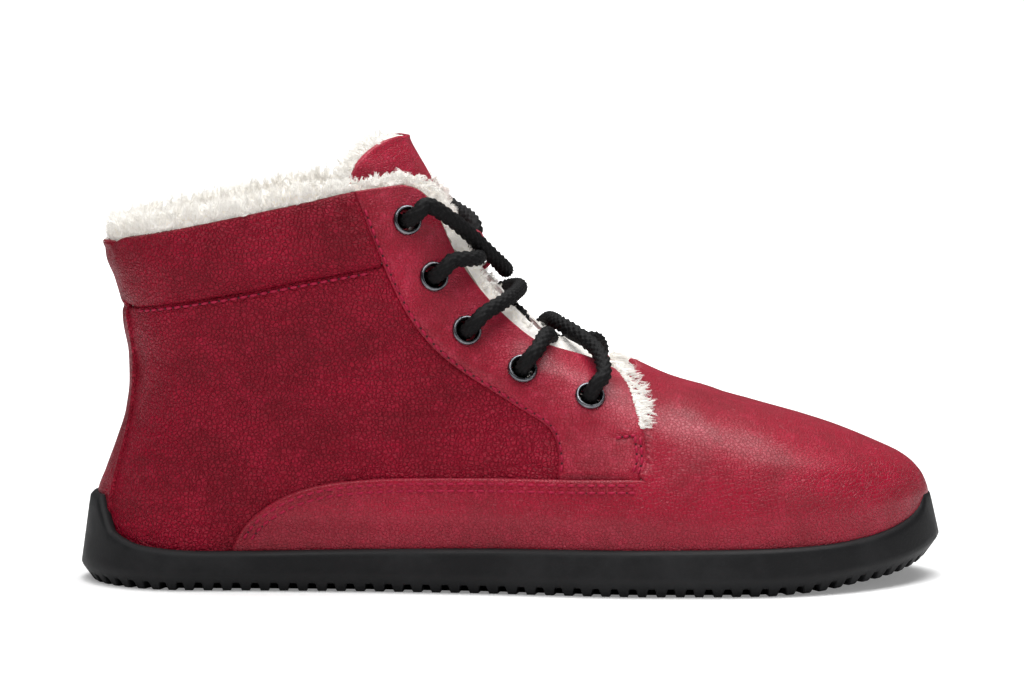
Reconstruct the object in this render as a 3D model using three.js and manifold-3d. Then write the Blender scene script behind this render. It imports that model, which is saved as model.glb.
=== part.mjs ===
// Fleece-lined lace-up ankle boot, right foot, in millimetres.
// +X points to the toe, +Y to the inner (medial) side, +Z up. The origin is under the middle of the
// sole, on the plane that the tread stands on.
import * as THREE from 'three';
import { mergeVertices } from 'three/addons/utils/BufferGeometryUtils.js';
import Module from 'manifold-3d';

const wasm = await Module();
wasm.setup();

// ---- driving dimensions ----
const SOLE_LENGTH = 268;
const SOLE_WIDTH = 100; // across the ball of the foot
const COLLAR_HEIGHT = 124.4; // of the leather, at the top of the throat
const SOLE_HEEL_ROUND = 34; // how far from the heel end the outline has its full width
const SOLE_TOE_ROUND = 58;
const SOLE_FLOOR = 6.0; // height of the inside floor of the cup over the tread
const UPPER_INSET = 4.2; // upper stands this far inside the widest line of the sole
const TREAD_PITCH = 5.8;
const TREAD_DEPTH = 2.6;
const TREAD_WIDTH = 2.3;
const TREAD_REACH = 9; // how far a tread notch runs in from the edge
const RIB_PITCH = 14;
const RIB_GROOVE = 3;
const RIB_DEPTH = 1.6;

const GAP = 0.3; // clearance between pieces that lie on each other
const PILE_GAP = 0.65; // the tongue's tighter bend needs a little more
const SEAM = 0.4; // clearance between panels that meet edge to edge
const LEATHER = 1.4;
const STIFFENER = 1.0; // counter, puff, collar foam and facing reinforcement
const PILE = 4.0; // lining
const PRESSED_PILE = 1.6; // lining under the facings
const BOARD = 1.5;
const INSOLE_FOAM = 3.0;
const INSOLE_PILE = 3.0;
const COLLAR_PUFF = 0.6;
const LINING_ABOVE_COLLAR = 4.6;
const LINING_PAST_FACING = 3.0;

const EYELET_HOLE_R = 3.2;
const EYELET_RIM_R = 4.65;
const EYELET_WALL = 0.5;
const EYELET_RIM_HEIGHT = 1.0;
const LACE_D = 4.4;
const AGLET_LENGTH = 22;
const AGLET_R = 1.9;
const AGLET_RISE = 0.12; // the tips lie up the spring of the toe

const LOOP_HEIGHT = 105.5; // where the lace loop sits on the tongue
const LOOP_LENGTH = 10.5;
const LOOP_WIDTH = 8;
const LOOP_STRAP = 1.2;

const TONGUE_HINGE_HEIGHT = 121.5;
const TONGUE_FOLD_RISE = 12; // degrees that the fold line climbs towards the sides
const TONGUE_FOLD_WEDGE = 7; // degrees of clearance under the tongue tip

const AROUND = 24; // corners in one slice of the upper
const SLICES = [-4, 16, 24, 31, 38, 45, 52, 58, 64, 70, 77, 86, 98, 112, 128, 150];

// The curves and places below are drawn for a sole 268 long and 100 wide and a collar 124.4 high,
// and stretch with the three sizes at the top. Thicknesses, clearances and the lace don't.
const LONG = SOLE_LENGTH / 268;
const WIDE = SOLE_WIDTH / 100;
const TALL = COLLAR_HEIGHT / 124.4;
const FAR = 200; // past the end of everything
const OVER_ALL = 160; // as drawn, over the top of everything

// ---- curves ----
// A smooth curve through [at, value] pairs that never swings past them.
function through(points) {
  const at = points.map((p) => p[0]);
  const value = points.map((p) => p[1]);
  const slope = at.slice(1).map((a, i) => (value[i + 1] - value[i]) / (a - at[i]));
  const lean = at.map((_, i) => {
    if (i === 0) return slope[0];
    if (i === at.length - 1) return slope[i - 1];
    const before = slope[i - 1];
    const after = slope[i];
    return before * after <= 0 ? 0 : (2 * before * after) / (before + after);
  });
  return (x) => {
    if (x <= at[0]) return value[0];
    if (x >= at[at.length - 1]) return value[at.length - 1];
    const i = at.findIndex((a, k) => x < at[k + 1]);
    const span = at[i + 1] - at[i];
    const t = (x - at[i]) / span;
    const u = 1 - t;
    return (
      value[i] * u * u * (1 + 2 * t) +
      value[i + 1] * t * t * (1 + 2 * u) +
      span * t * u * (lean[i] * u - lean[i + 1] * t)
    );
  };
}

const step = (low, high, x) => THREE.MathUtils.smoothstep(x, low, high);
const mix = THREE.MathUtils.lerp;
const degrees = THREE.MathUtils.degToRad;

// Share of the full width at a distance in from the end of a rounded outline.
const rounded = (distance, length) => {
  const u = 1 - THREE.MathUtils.clamp(distance / length, 0, 1);
  return Math.sqrt(1 - u * u);
};

const HEEL_X = -SOLE_LENGTH / 2;
const TOE_X = SOLE_LENGTH / 2;

// Drawn curves, stretched: a width along the boot, a height along it, and a width or a length by height.
const widthAlong = (points) => through(points.map(([x, y]) => [x * LONG, y * WIDE]));
const heightAlong = (points) => through(points.map(([x, z]) => [x * LONG, z * TALL]));
const widthAtHeight = (points) => through(points.map(([z, y]) => [z * TALL, y * WIDE]));
const lengthAtHeight = (points) => through(points.map(([z, x]) => [z * TALL, x * LONG]));

// Half width of the sole, its middle line, and how its tread and rim rise along its length.
const soleHalf = widthAlong([
  [-134, 33], [-100, 34], [-60, 34.5], [-20, 36.5], [10, 41.5], [40, 48], [70, 50], [100, 48.5], [134, 42],
]);
const soleMiddle = widthAlong([
  [-134, -0.9], [-100, -1.4], [-50, -2.6], [-15, -4.3], [10, -4.3], [50, -1.5], [85, 1.3], [112, 4.1],
  [134, 5.9],
]);
const toeSpring = heightAlong([[78, 0], [95, 0.8], [108, 2.3], [120, 3.6], [128, 5.4], [134, 8]]);
const rimHeight = heightAlong([
  [-130.5, 27.4], [-128, 22.3], [-124.4, 16.8], [-113, 13.4], [-94, 12.4], [-50, 13.2], [0, 14.2],
  [60, 14.6], [95, 15.2], [110, 16.3], [118, 17.8], [125.6, 20.4], [129.4, 23], [131.5, 27],
]);

// Profiles of the upper in its middle plane, by height: the back line and the line over the toe,
// instep and throat.
const backLine = lengthAtHeight([
  [14, -128.8], [27, -128.3], [34, -126], [44, -122.2], [53, -119.4], [62, -118.4], [70, -118.6],
  [80, -120.2], [86, -120.6], [94, -122.8], [101, -125.4], [112, -126.2], [150, -127],
]);
const frontLine = lengthAtHeight([
  [14, 130.3], [26, 130.5], [31, 129], [35.5, 125.6], [38.5, 121.6], [42, 114.4], [46.7, 103.3],
  [51.6, 88.3], [56.6, 70.5], [62.5, 51.5], [66.4, 40.5], [69, 33.5], [72.5, 26], [77, 18], [83, 11], [90, 5],
  [98, 0], [107, -4.2], [116, -8.2], [123, -12], [140, -20.5], [150, -25],
]);
const shaftHalf = widthAtHeight([
  [20, 30], [50, 30.5], [70, 32.5], [90, 34.2], [105, 35.2], [125, 36], [150, 36.5],
]);
const backRound = lengthAtHeight([[14, 32], [50, 33], [80, 38], [105, 45], [150, 47]]);
const frontRound = lengthAtHeight([[14, 55], [50, 60], [60, 53], [68, 46], [80, 47], [105, 54], [150, 58]]);

// Half width and middle line of the upper at a place in the side view.
function upperHalf(x, z) {
  const low = soleHalf(x) - UPPER_INSET;
  const width = mix(low, shaftHalf(z), step(22 * TALL, 74 * TALL, z));
  return width * rounded(x - backLine(z), backRound(z)) * rounded(frontLine(z) - x, frontRound(z));
}
const upperMiddle = (x, z) => soleMiddle(x) * (1 - step(20 * TALL, 80 * TALL, z));

// A point of the upper's outside. The angle runs round a slice, from 0 on the front line, through
// 90 degrees on the inner (medial) side, to 180 at the back.
function skin(angle, z) {
  const back = backLine(z);
  const front = frontLine(z);
  const x = (back + front) / 2 + ((front - back) / 2) * Math.cos(angle);
  return new THREE.Vector3(x, upperMiddle(x, z) + Math.sign(Math.sin(angle)) * upperHalf(x, z), z);
}

function skinNormal(angle, z) {
  const nudge = 0.02;
  const round = skin(angle + nudge, z).sub(skin(angle - nudge, z));
  const up = skin(angle, z + 0.5).sub(skin(angle, z - 0.5));
  return round.cross(up).normalize();
}

const angleAt = (x, z, side) => {
  const back = backLine(z);
  const front = frontLine(z);
  const share = (x - (back + front) / 2) / ((front - back) / 2);
  return side * Math.acos(THREE.MathUtils.clamp(share, -1, 1));
};

// The point over a place in the side view as drawn, on the lateral (-1) or medial (1) side.
function onUpper(x, z, side, offset = 0) {
  const height = z * TALL;
  const angle = angleAt(x * LONG, height, side);
  return skin(angle, height).addScaledVector(skinNormal(angle, height), offset);
}

// The same on the front line, at a height as drawn.
const ridge = (z, offset, aside = 0) =>
  skin(0, z * TALL).addScaledVector(skinNormal(0, z * TALL), offset).setY(aside);

// ---- solids ----
function toSolid(geometry) {
  const bare = geometry.clone();
  bare.deleteAttribute('normal');
  bare.deleteAttribute('uv');
  const merged = mergeVertices(bare, 1e-4);
  const mesh = new wasm.Mesh({
    numProp: 3,
    vertProperties: new Float32Array(merged.attributes.position.array),
    triVerts: new Uint32Array(merged.index.array),
  });
  return new wasm.Manifold(mesh);
}

function toGeometry(solid) {
  const { vertProperties, triVerts } = solid.getMesh();
  const geometry = new THREE.BufferGeometry();
  geometry.setAttribute('position', new THREE.BufferAttribute(vertProperties, 3));
  geometry.setIndex(new THREE.BufferAttribute(triVerts, 1));
  return geometry;
}

// A closed body from rings of points, with a fan to a middle point at each end.
function ringBody(rings, firstMiddle = null) {
  const count = rings[0].length;
  const points = rings.flat();
  const faces = [];
  for (let ring = 0; ring < rings.length - 1; ring++) {
    for (let i = 0; i < count; i++) {
      const next = (i + 1) % count;
      const a = ring * count + i;
      const b = ring * count + next;
      faces.push(a, b, b + count, a, b + count, a + count);
    }
  }
  for (const [ring, turned] of [[0, true], [rings.length - 1, false]]) {
    const middle = points.length;
    const centre = rings[ring].reduce((sum, p) => sum.add(p), new THREE.Vector3()).divideScalar(count);
    points.push(ring === 0 && firstMiddle ? firstMiddle : centre);
    for (let i = 0; i < count; i++) {
      const a = ring * count + i;
      const b = ring * count + ((i + 1) % count);
      faces.push(...(turned ? [b, a, middle] : [a, b, middle]));
    }
  }
  const geometry = new THREE.BufferGeometry();
  geometry.setAttribute('position', new THREE.Float32BufferAttribute(points.flatMap((p) => p.toArray()), 3));
  geometry.setIndex(faces);
  return toSolid(geometry);
}

// The whole upper as one body, moved out by an offset that may vary over the side view.
function upperBody(offset) {
  const offsetAt = typeof offset === 'function' ? offset : () => offset;
  const ring = (z) => {
    const corners = [];
    for (let i = 0; i < AROUND; i++) {
      const angle = (2 * Math.PI * i) / AROUND;
      const point = skin(angle, z);
      corners.push(point.addScaledVector(skinNormal(angle, z), offsetAt(point.x, z)));
    }
    return corners;
  };
  return ringBody(SLICES.map((z) => ring(z * TALL)));
}

// A prism across the boot, from its outline in the side view. Side -1 keeps the lateral half,
// 1 the medial half and 0 both.
function acrossBoot(outline, side = 0) {
  const shape = new THREE.Shape(outline.map(([x, z]) => new THREE.Vector2(x, z)));
  const reach = SOLE_WIDTH;
  const prism = new THREE.ExtrudeGeometry(shape, { depth: side ? reach : 2 * reach, bevelEnabled: false });
  prism.rotateX(Math.PI / 2);
  prism.translate(0, side === -1 ? 0 : reach, 0);
  return toSolid(prism);
}

// The same from an outline as drawn.
const sideCut = (outline, side) => acrossBoot(outline.map(([x, z]) => [x * LONG, z * TALL]), side);

const spline = (points, steps) => {
  const curve = new THREE.SplineCurve(points.map(([x, z]) => new THREE.Vector2(x, z)));
  return curve.getPoints(steps).map((p) => [p.x, p.y]);
};

const shifted = (points, dx, dz) => points.map(([x, z]) => [x + dx, z + dz]);

// A line parallel to the sole's floor, past both ends of it, at a height over the tread.
const floorLine = (height) => {
  const bends = [78, 95, 108, 120, 128].map((x) => x * LONG);
  return [-FAR, ...bends, FAR].map((x) => [x, toeSpring(x) + height]);
};
const reversed = (points) => [...points].reverse();
const layer = (low, high) => acrossBoot([...floorLine(low), ...reversed(floorLine(high))]);
const above = (height) => acrossBoot([...floorLine(height), [FAR, FAR], [-FAR, FAR]]);

// A cut can leave a sliver off the end of a thin layer, so a layer keeps its largest body.
const wholePiece = (solid) => solid.decompose().sort((a, b) => b.volume() - a.volume())[0];

const group = new THREE.Group();
function add(name, shape, look) {
  const geometry = shape.isBufferGeometry ? shape : toGeometry(shape);
  const mesh = new THREE.Mesh(geometry, new THREE.MeshStandardMaterial(look));
  mesh.name = name;
  group.add(mesh);
  return mesh;
}

const CRIMSON = { color: 0xa00f2b, roughness: 0.45, metalness: 0 };
const CRIMSON_DARK = { color: 0x8a0c25, roughness: 0.5, metalness: 0 };
const CREAM = { color: 0xf0e8da, roughness: 0.95, metalness: 0 };
const RUBBER = { color: 0x242527, roughness: 0.8, metalness: 0 };
const GUNMETAL = { color: 0x5c6168, roughness: 0.3, metalness: 1 };
const BLACK_CORD = { color: 0x141414, roughness: 0.85, metalness: 0 };
const BOARD_GREY = { color: 0xb9b2a4, roughness: 0.9, metalness: 0 };
const FOAM_GREY = { color: 0x8d8d88, roughness: 0.9, metalness: 0 };
const CLEAR_TIP = { color: 0x1b1b1d, roughness: 0.3, metalness: 0 };

// ---- outlines of the panels in the side view ----
const LOW = SOLE_FLOOR + GAP;
const wingEdge = spline(
  [[40, 36], [21, 35.6], [-11, 35.7], [-42, 35], [-62, 32.2], [-76, 25.6], [-84, 16.5], [-88, 4]],
  10,
);
const tabEdge = spline([[39.6, 36.4], [41.2, 41], [40.4, 50], [38.6, 58], [37, 62.6], [34, 66.2]], 5);
const facingEdge = spline(
  [
    [34, 66.2], [24.8, 70.4], [12.5, 74.6], [5.4, 78], [-6.6, 89],
    [-15.8, 101.4], [-22.3, 115.4], [-24.2, 119], [-28, 122.7], [-33, 124.4],
  ],
  10,
);
const eyestayEdge = spline(
  [[-47.5, 122.6], [-39.6, 102], [-30.9, 84], [-19, 70.5], [0.8, 57.5], [11.5, 50.6], [14.4, 43], [14.2, 36]],
  8,
);
const collarTop = spline(
  [[-33, 124.4], [-47.5, 122.6], [-64.7, 118.7], [-94.5, 112.4], [-113, 108.6], [-140, 103.6]],
  6,
);
const collarSeam = spline([[-39.2, 99.5], [-62.6, 95.2], [-86.5, 90.6], [-140, 81.5]], 4);
const stripEdge = spline(
  [[-122.3, 120], [-121.6, 102], [-118, 85], [-115.8, 66], [-118, 48], [-122, 31], [-123.8, 18], [-124, -5]],
  7,
);
const counterEdge = spline([[-140, 58], [-112, 56], [-92, 44], [-80, 22], [-76, 4]], 5);

const eyestayX = through(reversed(eyestayEdge).map(([x, z]) => [z, x]));
const inFacing = (x, z) => step(-8, 2, x / LONG - eyestayX(z / TALL));

// ---- offsets of the layers from the outside of the upper ----
const stiffenerTop = -LEATHER - GAP;
const stiffenerUnder = stiffenerTop - STIFFENER;
const liningTop = stiffenerUnder - GAP;
const liningUnder = (x, z) => liningTop - mix(PILE, PRESSED_PILE, inFacing(x, z));
const pressedUnder = liningTop - PRESSED_PILE;
const laceInside = pressedUnder - 2 * GAP - LACE_D / 2 - 0.5;
const tongueTop = laceInside - LACE_D / 2 - 2 * GAP;
const tongueUnder = tongueTop - LEATHER;
const tongueRise = (x) => (liningTop - PILE - GAP - tongueTop) * step(34 * LONG, 44 * LONG, x);
// The wings of the vamp lie over the quarters, and come level again at the sole and at the toe.
const wingProud = (x, z) =>
  (LEATHER + GAP) * step(16 * TALL, 24 * TALL, z) * (1 - step(17 * LONG, 46 * LONG, x));
const stripProud = (x, z) => 0.5 * step(30 * TALL, 38 * TALL, z);

const leatherInner = upperBody(-LEATHER);
const leather = upperBody(0).subtract(leatherInner);
const stiffening = upperBody(stiffenerTop).subtract(upperBody(stiffenerUnder));
const lining = upperBody(liningTop).subtract(upperBody(liningUnder));

// ---- sole ----
function soleOutline(inset) {
  const corners = [];
  const count = 52;
  const edge = (angle) => {
    const x = (SOLE_LENGTH / 2) * Math.cos(angle);
    const ends = rounded(x - HEEL_X, SOLE_HEEL_ROUND * LONG) * rounded(TOE_X - x, SOLE_TOE_ROUND * LONG);
    const half = soleHalf(x) * ends;
    return new THREE.Vector2(x, soleMiddle(x) + Math.sign(Math.sin(angle)) * half);
  };
  for (let i = 0; i < count; i++) {
    const angle = (2 * Math.PI * i) / count;
    const along = edge(angle + 0.01).sub(edge(angle - 0.01)).normalize();
    corners.push(edge(angle).addScaledVector(new THREE.Vector2(along.y, -along.x), -inset(edge(angle).x)));
  }
  return corners;
}

function outsole() {
  const steady = (value) => () => value;
  const rimInset = (x) => 2.0 + 0.15 * (rimHeight(x) - 14 * TALL);
  const levels = [
    [steady(12), (x) => toeSpring(x)],
    [steady(3.6), (x) => toeSpring(x)],
    [steady(0), (x) => toeSpring(x) + 5.2],
    [(x) => rimInset(x) - 0.9, (x) => rimHeight(x) - 1.2],
    [rimInset, rimHeight],
    [steady(12), rimHeight],
  ];
  const ring = ([inset, height]) => soleOutline(inset).map((p) => new THREE.Vector3(p.x, p.y, height(p.x)));
  const cavity = upperBody(GAP).intersect(above(SOLE_FLOOR));
  const flatMiddle = new THREE.Vector3(0, soleMiddle(0), 0); // keeps the tread level behind the toe spring
  return ringBody(levels.map(ring), flatMiddle).subtract(cavity).subtract(tread());
}

// Wedge notches all round the edge and shallow grooves across the middle.
function tread() {
  const outline = new THREE.CatmullRomCurve3(
    soleOutline(() => 0).map((p) => new THREE.Vector3(p.x, p.y, 0)),
    true,
  );
  const count = Math.round(outline.getLength() / TREAD_PITCH);
  const wedge = new THREE.Shape([
    new THREE.Vector2(-TREAD_WIDTH, -TREAD_DEPTH),
    new THREE.Vector2(TREAD_WIDTH, -TREAD_DEPTH),
    new THREE.Vector2(0, TREAD_DEPTH),
  ]);
  let cuts = null;
  const cut = (solid) => {
    cuts = cuts ? cuts.add(solid) : solid;
  };
  for (let i = 0; i < count; i++) {
    const share = i / count;
    const place = outline.getPointAt(share);
    const along = outline.getTangentAt(share);
    const notch = new THREE.ExtrudeGeometry(wedge, { depth: TREAD_REACH + 3, bevelEnabled: false });
    const inward = new THREE.Vector3(-along.y, along.x, 0);
    const upward = new THREE.Vector3(0, 0, 1);
    const turn = new THREE.Matrix4().makeBasis(along.clone().negate().setZ(0), upward, inward);
    notch.translate(0, 0, -3);
    notch.applyMatrix4(turn);
    notch.translate(place.x, place.y, toeSpring(place.x));
    cut(toSolid(notch));
  }
  const margin = TREAD_REACH + 6;
  for (let x = HEEL_X + 28; x < 74 * LONG; x += RIB_PITCH) {
    const half = soleHalf(x) - margin;
    const groove = new THREE.BoxGeometry(RIB_GROOVE, 2 * half, 2 * RIB_DEPTH);
    groove.translate(x, soleMiddle(x), 0);
    cut(toSolid(groove));
  }
  return cuts;
}

add('outsole', outsole(), RUBBER);
const boardTop = SOLE_FLOOR + GAP + BOARD;
const foamTop = boardTop + GAP + INSOLE_FOAM;
const footTop = foamTop + GAP + INSOLE_PILE;
const insideLining = upperBody(liningTop - PILE - GAP);
add('insole_board', upperBody(stiffenerTop).intersect(layer(LOW, boardTop)), BOARD_GREY);
add('insole_foam', insideLining.intersect(layer(boardTop + GAP, foamTop)), FOAM_GREY);
add('insole_pile', insideLining.intersect(layer(foamTop + GAP, footTop)), CREAM);

// ---- leather panels ----
const vampOutline = [
  ...shifted(wingEdge, 0, -SEAM),
  [-88, -5],
  [150, -5],
  [150, OVER_ALL],
  [38, OVER_ALL],
  [36, 64.6],
  ...reversed(tabEdge).slice(1, -1).map(([x, z]) => [x + SEAM, z]),
  [40.6, 35.8],
];
const aboveFloor = above(LOW);
const aboveBoard = above(boardTop + GAP);
const wings = upperBody(wingProud).subtract(upperBody((x, z) => wingProud(x, z) - LEATHER));
add('vamp', wings.intersect(sideCut(vampOutline)).intersect(aboveFloor), CRIMSON);

const underWing = 27; // the quarter reaches down under the wing to this height
const laidUnder = wingEdge.filter(([x, z]) => z < underWing);
const quarterOutline = [
  ...reversed(eyestayEdge).filter(([, z]) => z > underWing && z < 99.5).map(([x, z]) => [x - SEAM, z]),
  [-39.2 - SEAM, 99.5 - SEAM],
  ...shifted(collarSeam.filter(([x]) => x < -42), 0, -SEAM),
  ...stripEdge.filter(([, z]) => z < 84).map(([x, z]) => [x + SEAM, z]),
  ...shifted(reversed(laidUnder), -SEAM, 0),
  [-1, underWing],
  [1, 36.2],
];
const eyestayOutline = [...eyestayEdge, ...tabEdge.slice(0, -1), ...facingEdge];
const collarOutline = [
  ...collarTop.filter(([x]) => x < -47),
  [-140, 81.5],
  ...reversed(collarSeam),
  ...reversed(eyestayEdge).filter(([, z]) => z > 100.5).map(([x, z]) => [x - SEAM, z]),
];
const stripOutline = [...stripEdge, [-150, -5], [-150, 103], collarTop.at(-1)];
const roomForStrip = sideCut([...shifted(stripEdge, SEAM, 0), [-150, -5], [-150, 120]]);
// The throat between the facings, seen from above, a little wider for the leather than for its lining.
function throat(wider) {
  const edge = [[-60, 24], [-22, 16.5], [0, 18.5], [14, 15.5], [26, 12], [39, 12]];
  const line = edge.map(([x, y]) => new THREE.Vector2(x * LONG, y * WIDE + wider));
  const shape = new THREE.Shape([...line, ...reversed(line).map((p) => new THREE.Vector2(p.x, -p.y))]);
  const block = new THREE.ExtrudeGeometry(shape, { depth: FAR, bevelEnabled: false });
  block.translate(0, 0, 45 * TALL);
  return toSolid(block);
}
const belowCollarTop = sideCut([
  ...collarTop, [-150, 101], [-150, -5], [150, -5], [150, OVER_ALL], [-33, OVER_ALL],
]);

const eyelets = [
  [-31.6, 113.6],
  [-23.5, 96.3],
  [-13.5, 79.9],
  [3.5, 68.2],
  [24.1, 59.9],
];
const LATERAL = -1;
const MEDIAL = 1;
const SIDES = [['lateral', LATERAL], ['medial', MEDIAL]];

// The frame of an eyelet: where its axis meets the outside of the leather, and which way it looks.
function eyeletFrame([x, z], side) {
  const angle = angleAt(x * LONG, z * TALL, side);
  return { place: skin(angle, z * TALL), axis: skinNormal(angle, z * TALL) };
}

function onAxis(geometry, { place, axis }) {
  geometry.applyQuaternion(new THREE.Quaternion().setFromUnitVectors(new THREE.Vector3(0, 1, 0), axis));
  geometry.translate(place.x, place.y, place.z);
  return geometry;
}

// A straight hole through the layers and a seat for the rolled flange behind them.
function eyeletCut(frame) {
  const sides = 6;
  const clear = (radius) => (radius + GAP) / Math.cos(Math.PI / sides); // flats clear the round piece
  const barrelR = clear(EYELET_HOLE_R + EYELET_WALL);
  const barrel = new THREE.CylinderGeometry(barrelR, barrelR, 16, sides);
  const seat = new THREE.CylinderGeometry(clear(EYELET_RIM_R), clear(EYELET_RIM_R), 4, sides);
  const rest = seat.clone().translate(0, 2, 0);
  seat.translate(0, pressedUnder + GAP / 2 - 2, 0);
  return [barrel, seat, rest].map((cut) => toSolid(onAxis(cut, frame))).reduce((all, cut) => all.add(cut));
}

function eyelet(frame) {
  const back = pressedUnder - GAP / 2;
  const outer = EYELET_HOLE_R + EYELET_WALL;
  const profile = [
    [EYELET_HOLE_R, back - EYELET_WALL],
    [EYELET_RIM_R - 0.5, back - EYELET_WALL],
    [EYELET_RIM_R - 0.5, back],
    [outer, back],
    [outer, GAP],
    [EYELET_RIM_R, GAP],
    [EYELET_RIM_R - 0.6, EYELET_RIM_HEIGHT],
    [EYELET_HOLE_R, EYELET_RIM_HEIGHT - 0.3],
    [EYELET_HOLE_R, back - EYELET_WALL],
  ];
  const ring = new THREE.LatheGeometry(profile.map(([r, y]) => new THREE.Vector2(r, y)), 10);
  return toSolid(onAxis(ring, frame));
}

for (const [sideName, side] of SIDES) {
  const half = (outline) => sideCut(outline, side);
  const frames = eyelets.map((place) => eyeletFrame(place, side));
  const holes = frames.map(eyeletCut).reduce((all, cut) => all.add(cut));
  const padded = upperBody(COLLAR_PUFF).subtract(leatherInner);
  const foamOutline = collarOutline.filter(([x]) => x > -139);
  const liningOutline = [
    ...collarTop.map(([x, z]) => [x, z + LINING_ABOVE_COLLAR]),
    [-150, -5],
    [29.4, -5],
    [29.4, 46],
    [40.6, 56],
    ...tabEdge.filter(([, z]) => z > 58).map(([x, z]) => [x + 2, z + 1]),
    ...facingEdge.slice(1).map(([x, z]) => [x + LINING_PAST_FACING, z + LINING_PAST_FACING * 0.7]),
  ];
  const quarter = leather.intersect(half(quarterOutline)).intersect(aboveFloor).subtract(roomForStrip);
  add(`quarter_${sideName}`, quarter, CRIMSON_DARK);
  const facing = half(eyestayOutline).subtract(holes).subtract(throat(LINING_PAST_FACING));
  add(`eyestay_${sideName}`, leather.intersect(facing), CRIMSON);
  add(`facing_reinforcement_${sideName}`, stiffening.intersect(facing), BOARD_GREY);
  const collar = padded.intersect(half(collarOutline)).subtract(roomForStrip);
  add(`collar_${sideName}`, collar, CRIMSON_DARK);
  const foam = stiffening.intersect(half(foamOutline)).subtract(roomForStrip);
  add(`collar_foam_${sideName}`, foam, FOAM_GREY);
  add(
    `quarter_lining_${sideName}`,
    lining.intersect(half(liningOutline)).intersect(aboveBoard).subtract(holes).subtract(throat(0)),
    CREAM,
  );
  frames.forEach((frame, i) => add(`eyelet_${sideName}_${i + 1}`, eyelet(frame), GUNMETAL));
}

const strip = upperBody(stripProud).subtract(leatherInner).intersect(sideCut(stripOutline));
add('back_strip', strip.intersect(aboveFloor).intersect(belowCollarTop), CRIMSON_DARK);
const counterOutline = [...counterEdge, [-140, 4]];
add('heel_counter', stiffening.intersect(sideCut(counterOutline)).intersect(aboveBoard), BOARD_GREY);
const puffOutline = [[88, 0], [96, 70], [150, 70], [150, 0]];
add('toe_puff', stiffening.intersect(sideCut(puffOutline)).intersect(aboveBoard), BOARD_GREY);
const vampLiningOutline = [[29.8, -5], [29.8, 45.6], [43, 57.4], [43, 80], [150, 80], [150, -5]];
add('vamp_lining', lining.intersect(sideCut(vampLiningOutline)).intersect(aboveBoard), CREAM);

// ---- tongue ----
const hinge = ridge(TONGUE_HINGE_HEIGHT, tongueTop);
const tongueBack = spline(
  [[-52, 130], [-48, 116], [-39, 98], [-27, 82.5], [-8, 70.5], [16, 62.5], [36, 55.5], [46, 53]],
  8,
);
const tongueEnd = spline([[-31, 138.4], [-39, 137], [-46, 134], [-52, 130]], 5).slice(0, -1);
const tongueOutline = [...tongueBack, [52, 60], [52, 100], [0, OVER_ALL], [-24, 138.2], ...tongueEnd];
const tongueLayer = (top, thickness) =>
  upperBody((x) => top + tongueRise(x)).subtract(upperBody((x) => top - thickness + tongueRise(x)));
const tongueFace = tongueLayer(tongueTop, LEATHER);
const tonguePile = tongueLayer(tongueUnder - PILE_GAP, PILE);
// Everything over or under a line through the hinge that climbs by an angle towards the back and
// drops by it towards the toe.
function foldSide(angle, farHeight) {
  const reach = 60;
  const climb = reach * Math.tan(degrees(angle));
  const ahead = hinge.x + reach;
  const behind = hinge.x - reach;
  return acrossBoot([
    [behind, hinge.z + climb],
    [hinge.x, hinge.z],
    [ahead, hinge.z - climb],
    [ahead, farHeight],
    [behind, farHeight],
  ]);
}
const overFold = foldSide(TONGUE_FOLD_RISE, FAR);
const underFold = foldSide(TONGUE_FOLD_RISE - TONGUE_FOLD_WEDGE, -FAR);
const tongueCut = sideCut(tongueOutline);
add('tongue', wholePiece(tongueFace.intersect(tongueCut).intersect(underFold)), CRIMSON);
add('tongue_lining', wholePiece(tonguePile.intersect(tongueCut).intersect(underFold)), CREAM);
add('tongue_tip', wholePiece(tongueFace.intersect(tongueCut).intersect(overFold)), CRIMSON);
add('tongue_tip_lining', wholePiece(tonguePile.intersect(tongueCut).intersect(overFold)), CREAM);

// ---- lace ----
// A point of the lace: over a place in the side view, at an offset from the outside of the leather.
const over = (side) => (x, z, offset) => onUpper(x, z, side, offset);
const lateral = over(-1);
const medial = over(1);
const laceOutside = LACE_D / 2 + GAP;

// The way through an eyelet, from outside to inside, coming from or leaving towards given places.
function throughEyelet(number, side, inwardTo) {
  const [x, z] = eyelets[number - 1];
  const frame = eyeletFrame([x, z], side);
  const throatward = onUpper(x + 3, z + 3, side).sub(frame.place);
  throatward.addScaledVector(frame.axis, -throatward.dot(frame.axis)).normalize();
  const inward = inwardTo.clone().sub(frame.place);
  inward.addScaledVector(frame.axis, -inward.dot(frame.axis)).normalize();
  const at = (depth, way, aside) => {
    const onFrameAxis = frame.place.clone().addScaledVector(frame.axis, depth);
    return onFrameAxis.addScaledVector(way, aside);
  };
  return [
    at(EYELET_RIM_HEIGHT + LACE_D / 2 + 0.8, throatward, 6.2),
    at(EYELET_RIM_HEIGHT + LACE_D / 2 + 1.1, throatward, 3.2),
    at(EYELET_RIM_HEIGHT + 1.2, throatward, 0.1),
    at(-1.5, throatward, 0),
    at(pressedUnder - 0.4, inward, 0.15),
    at(laceInside + 0.3, inward, 2.2),
    at(laceInside, inward, 5.4),
  ];
}

const eyeletPlace = (number, side) => eyeletFrame(eyelets[number - 1], side).place;
const outOf = (number, side, towards) => throughEyelet(number, side, towards).reverse();

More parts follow.
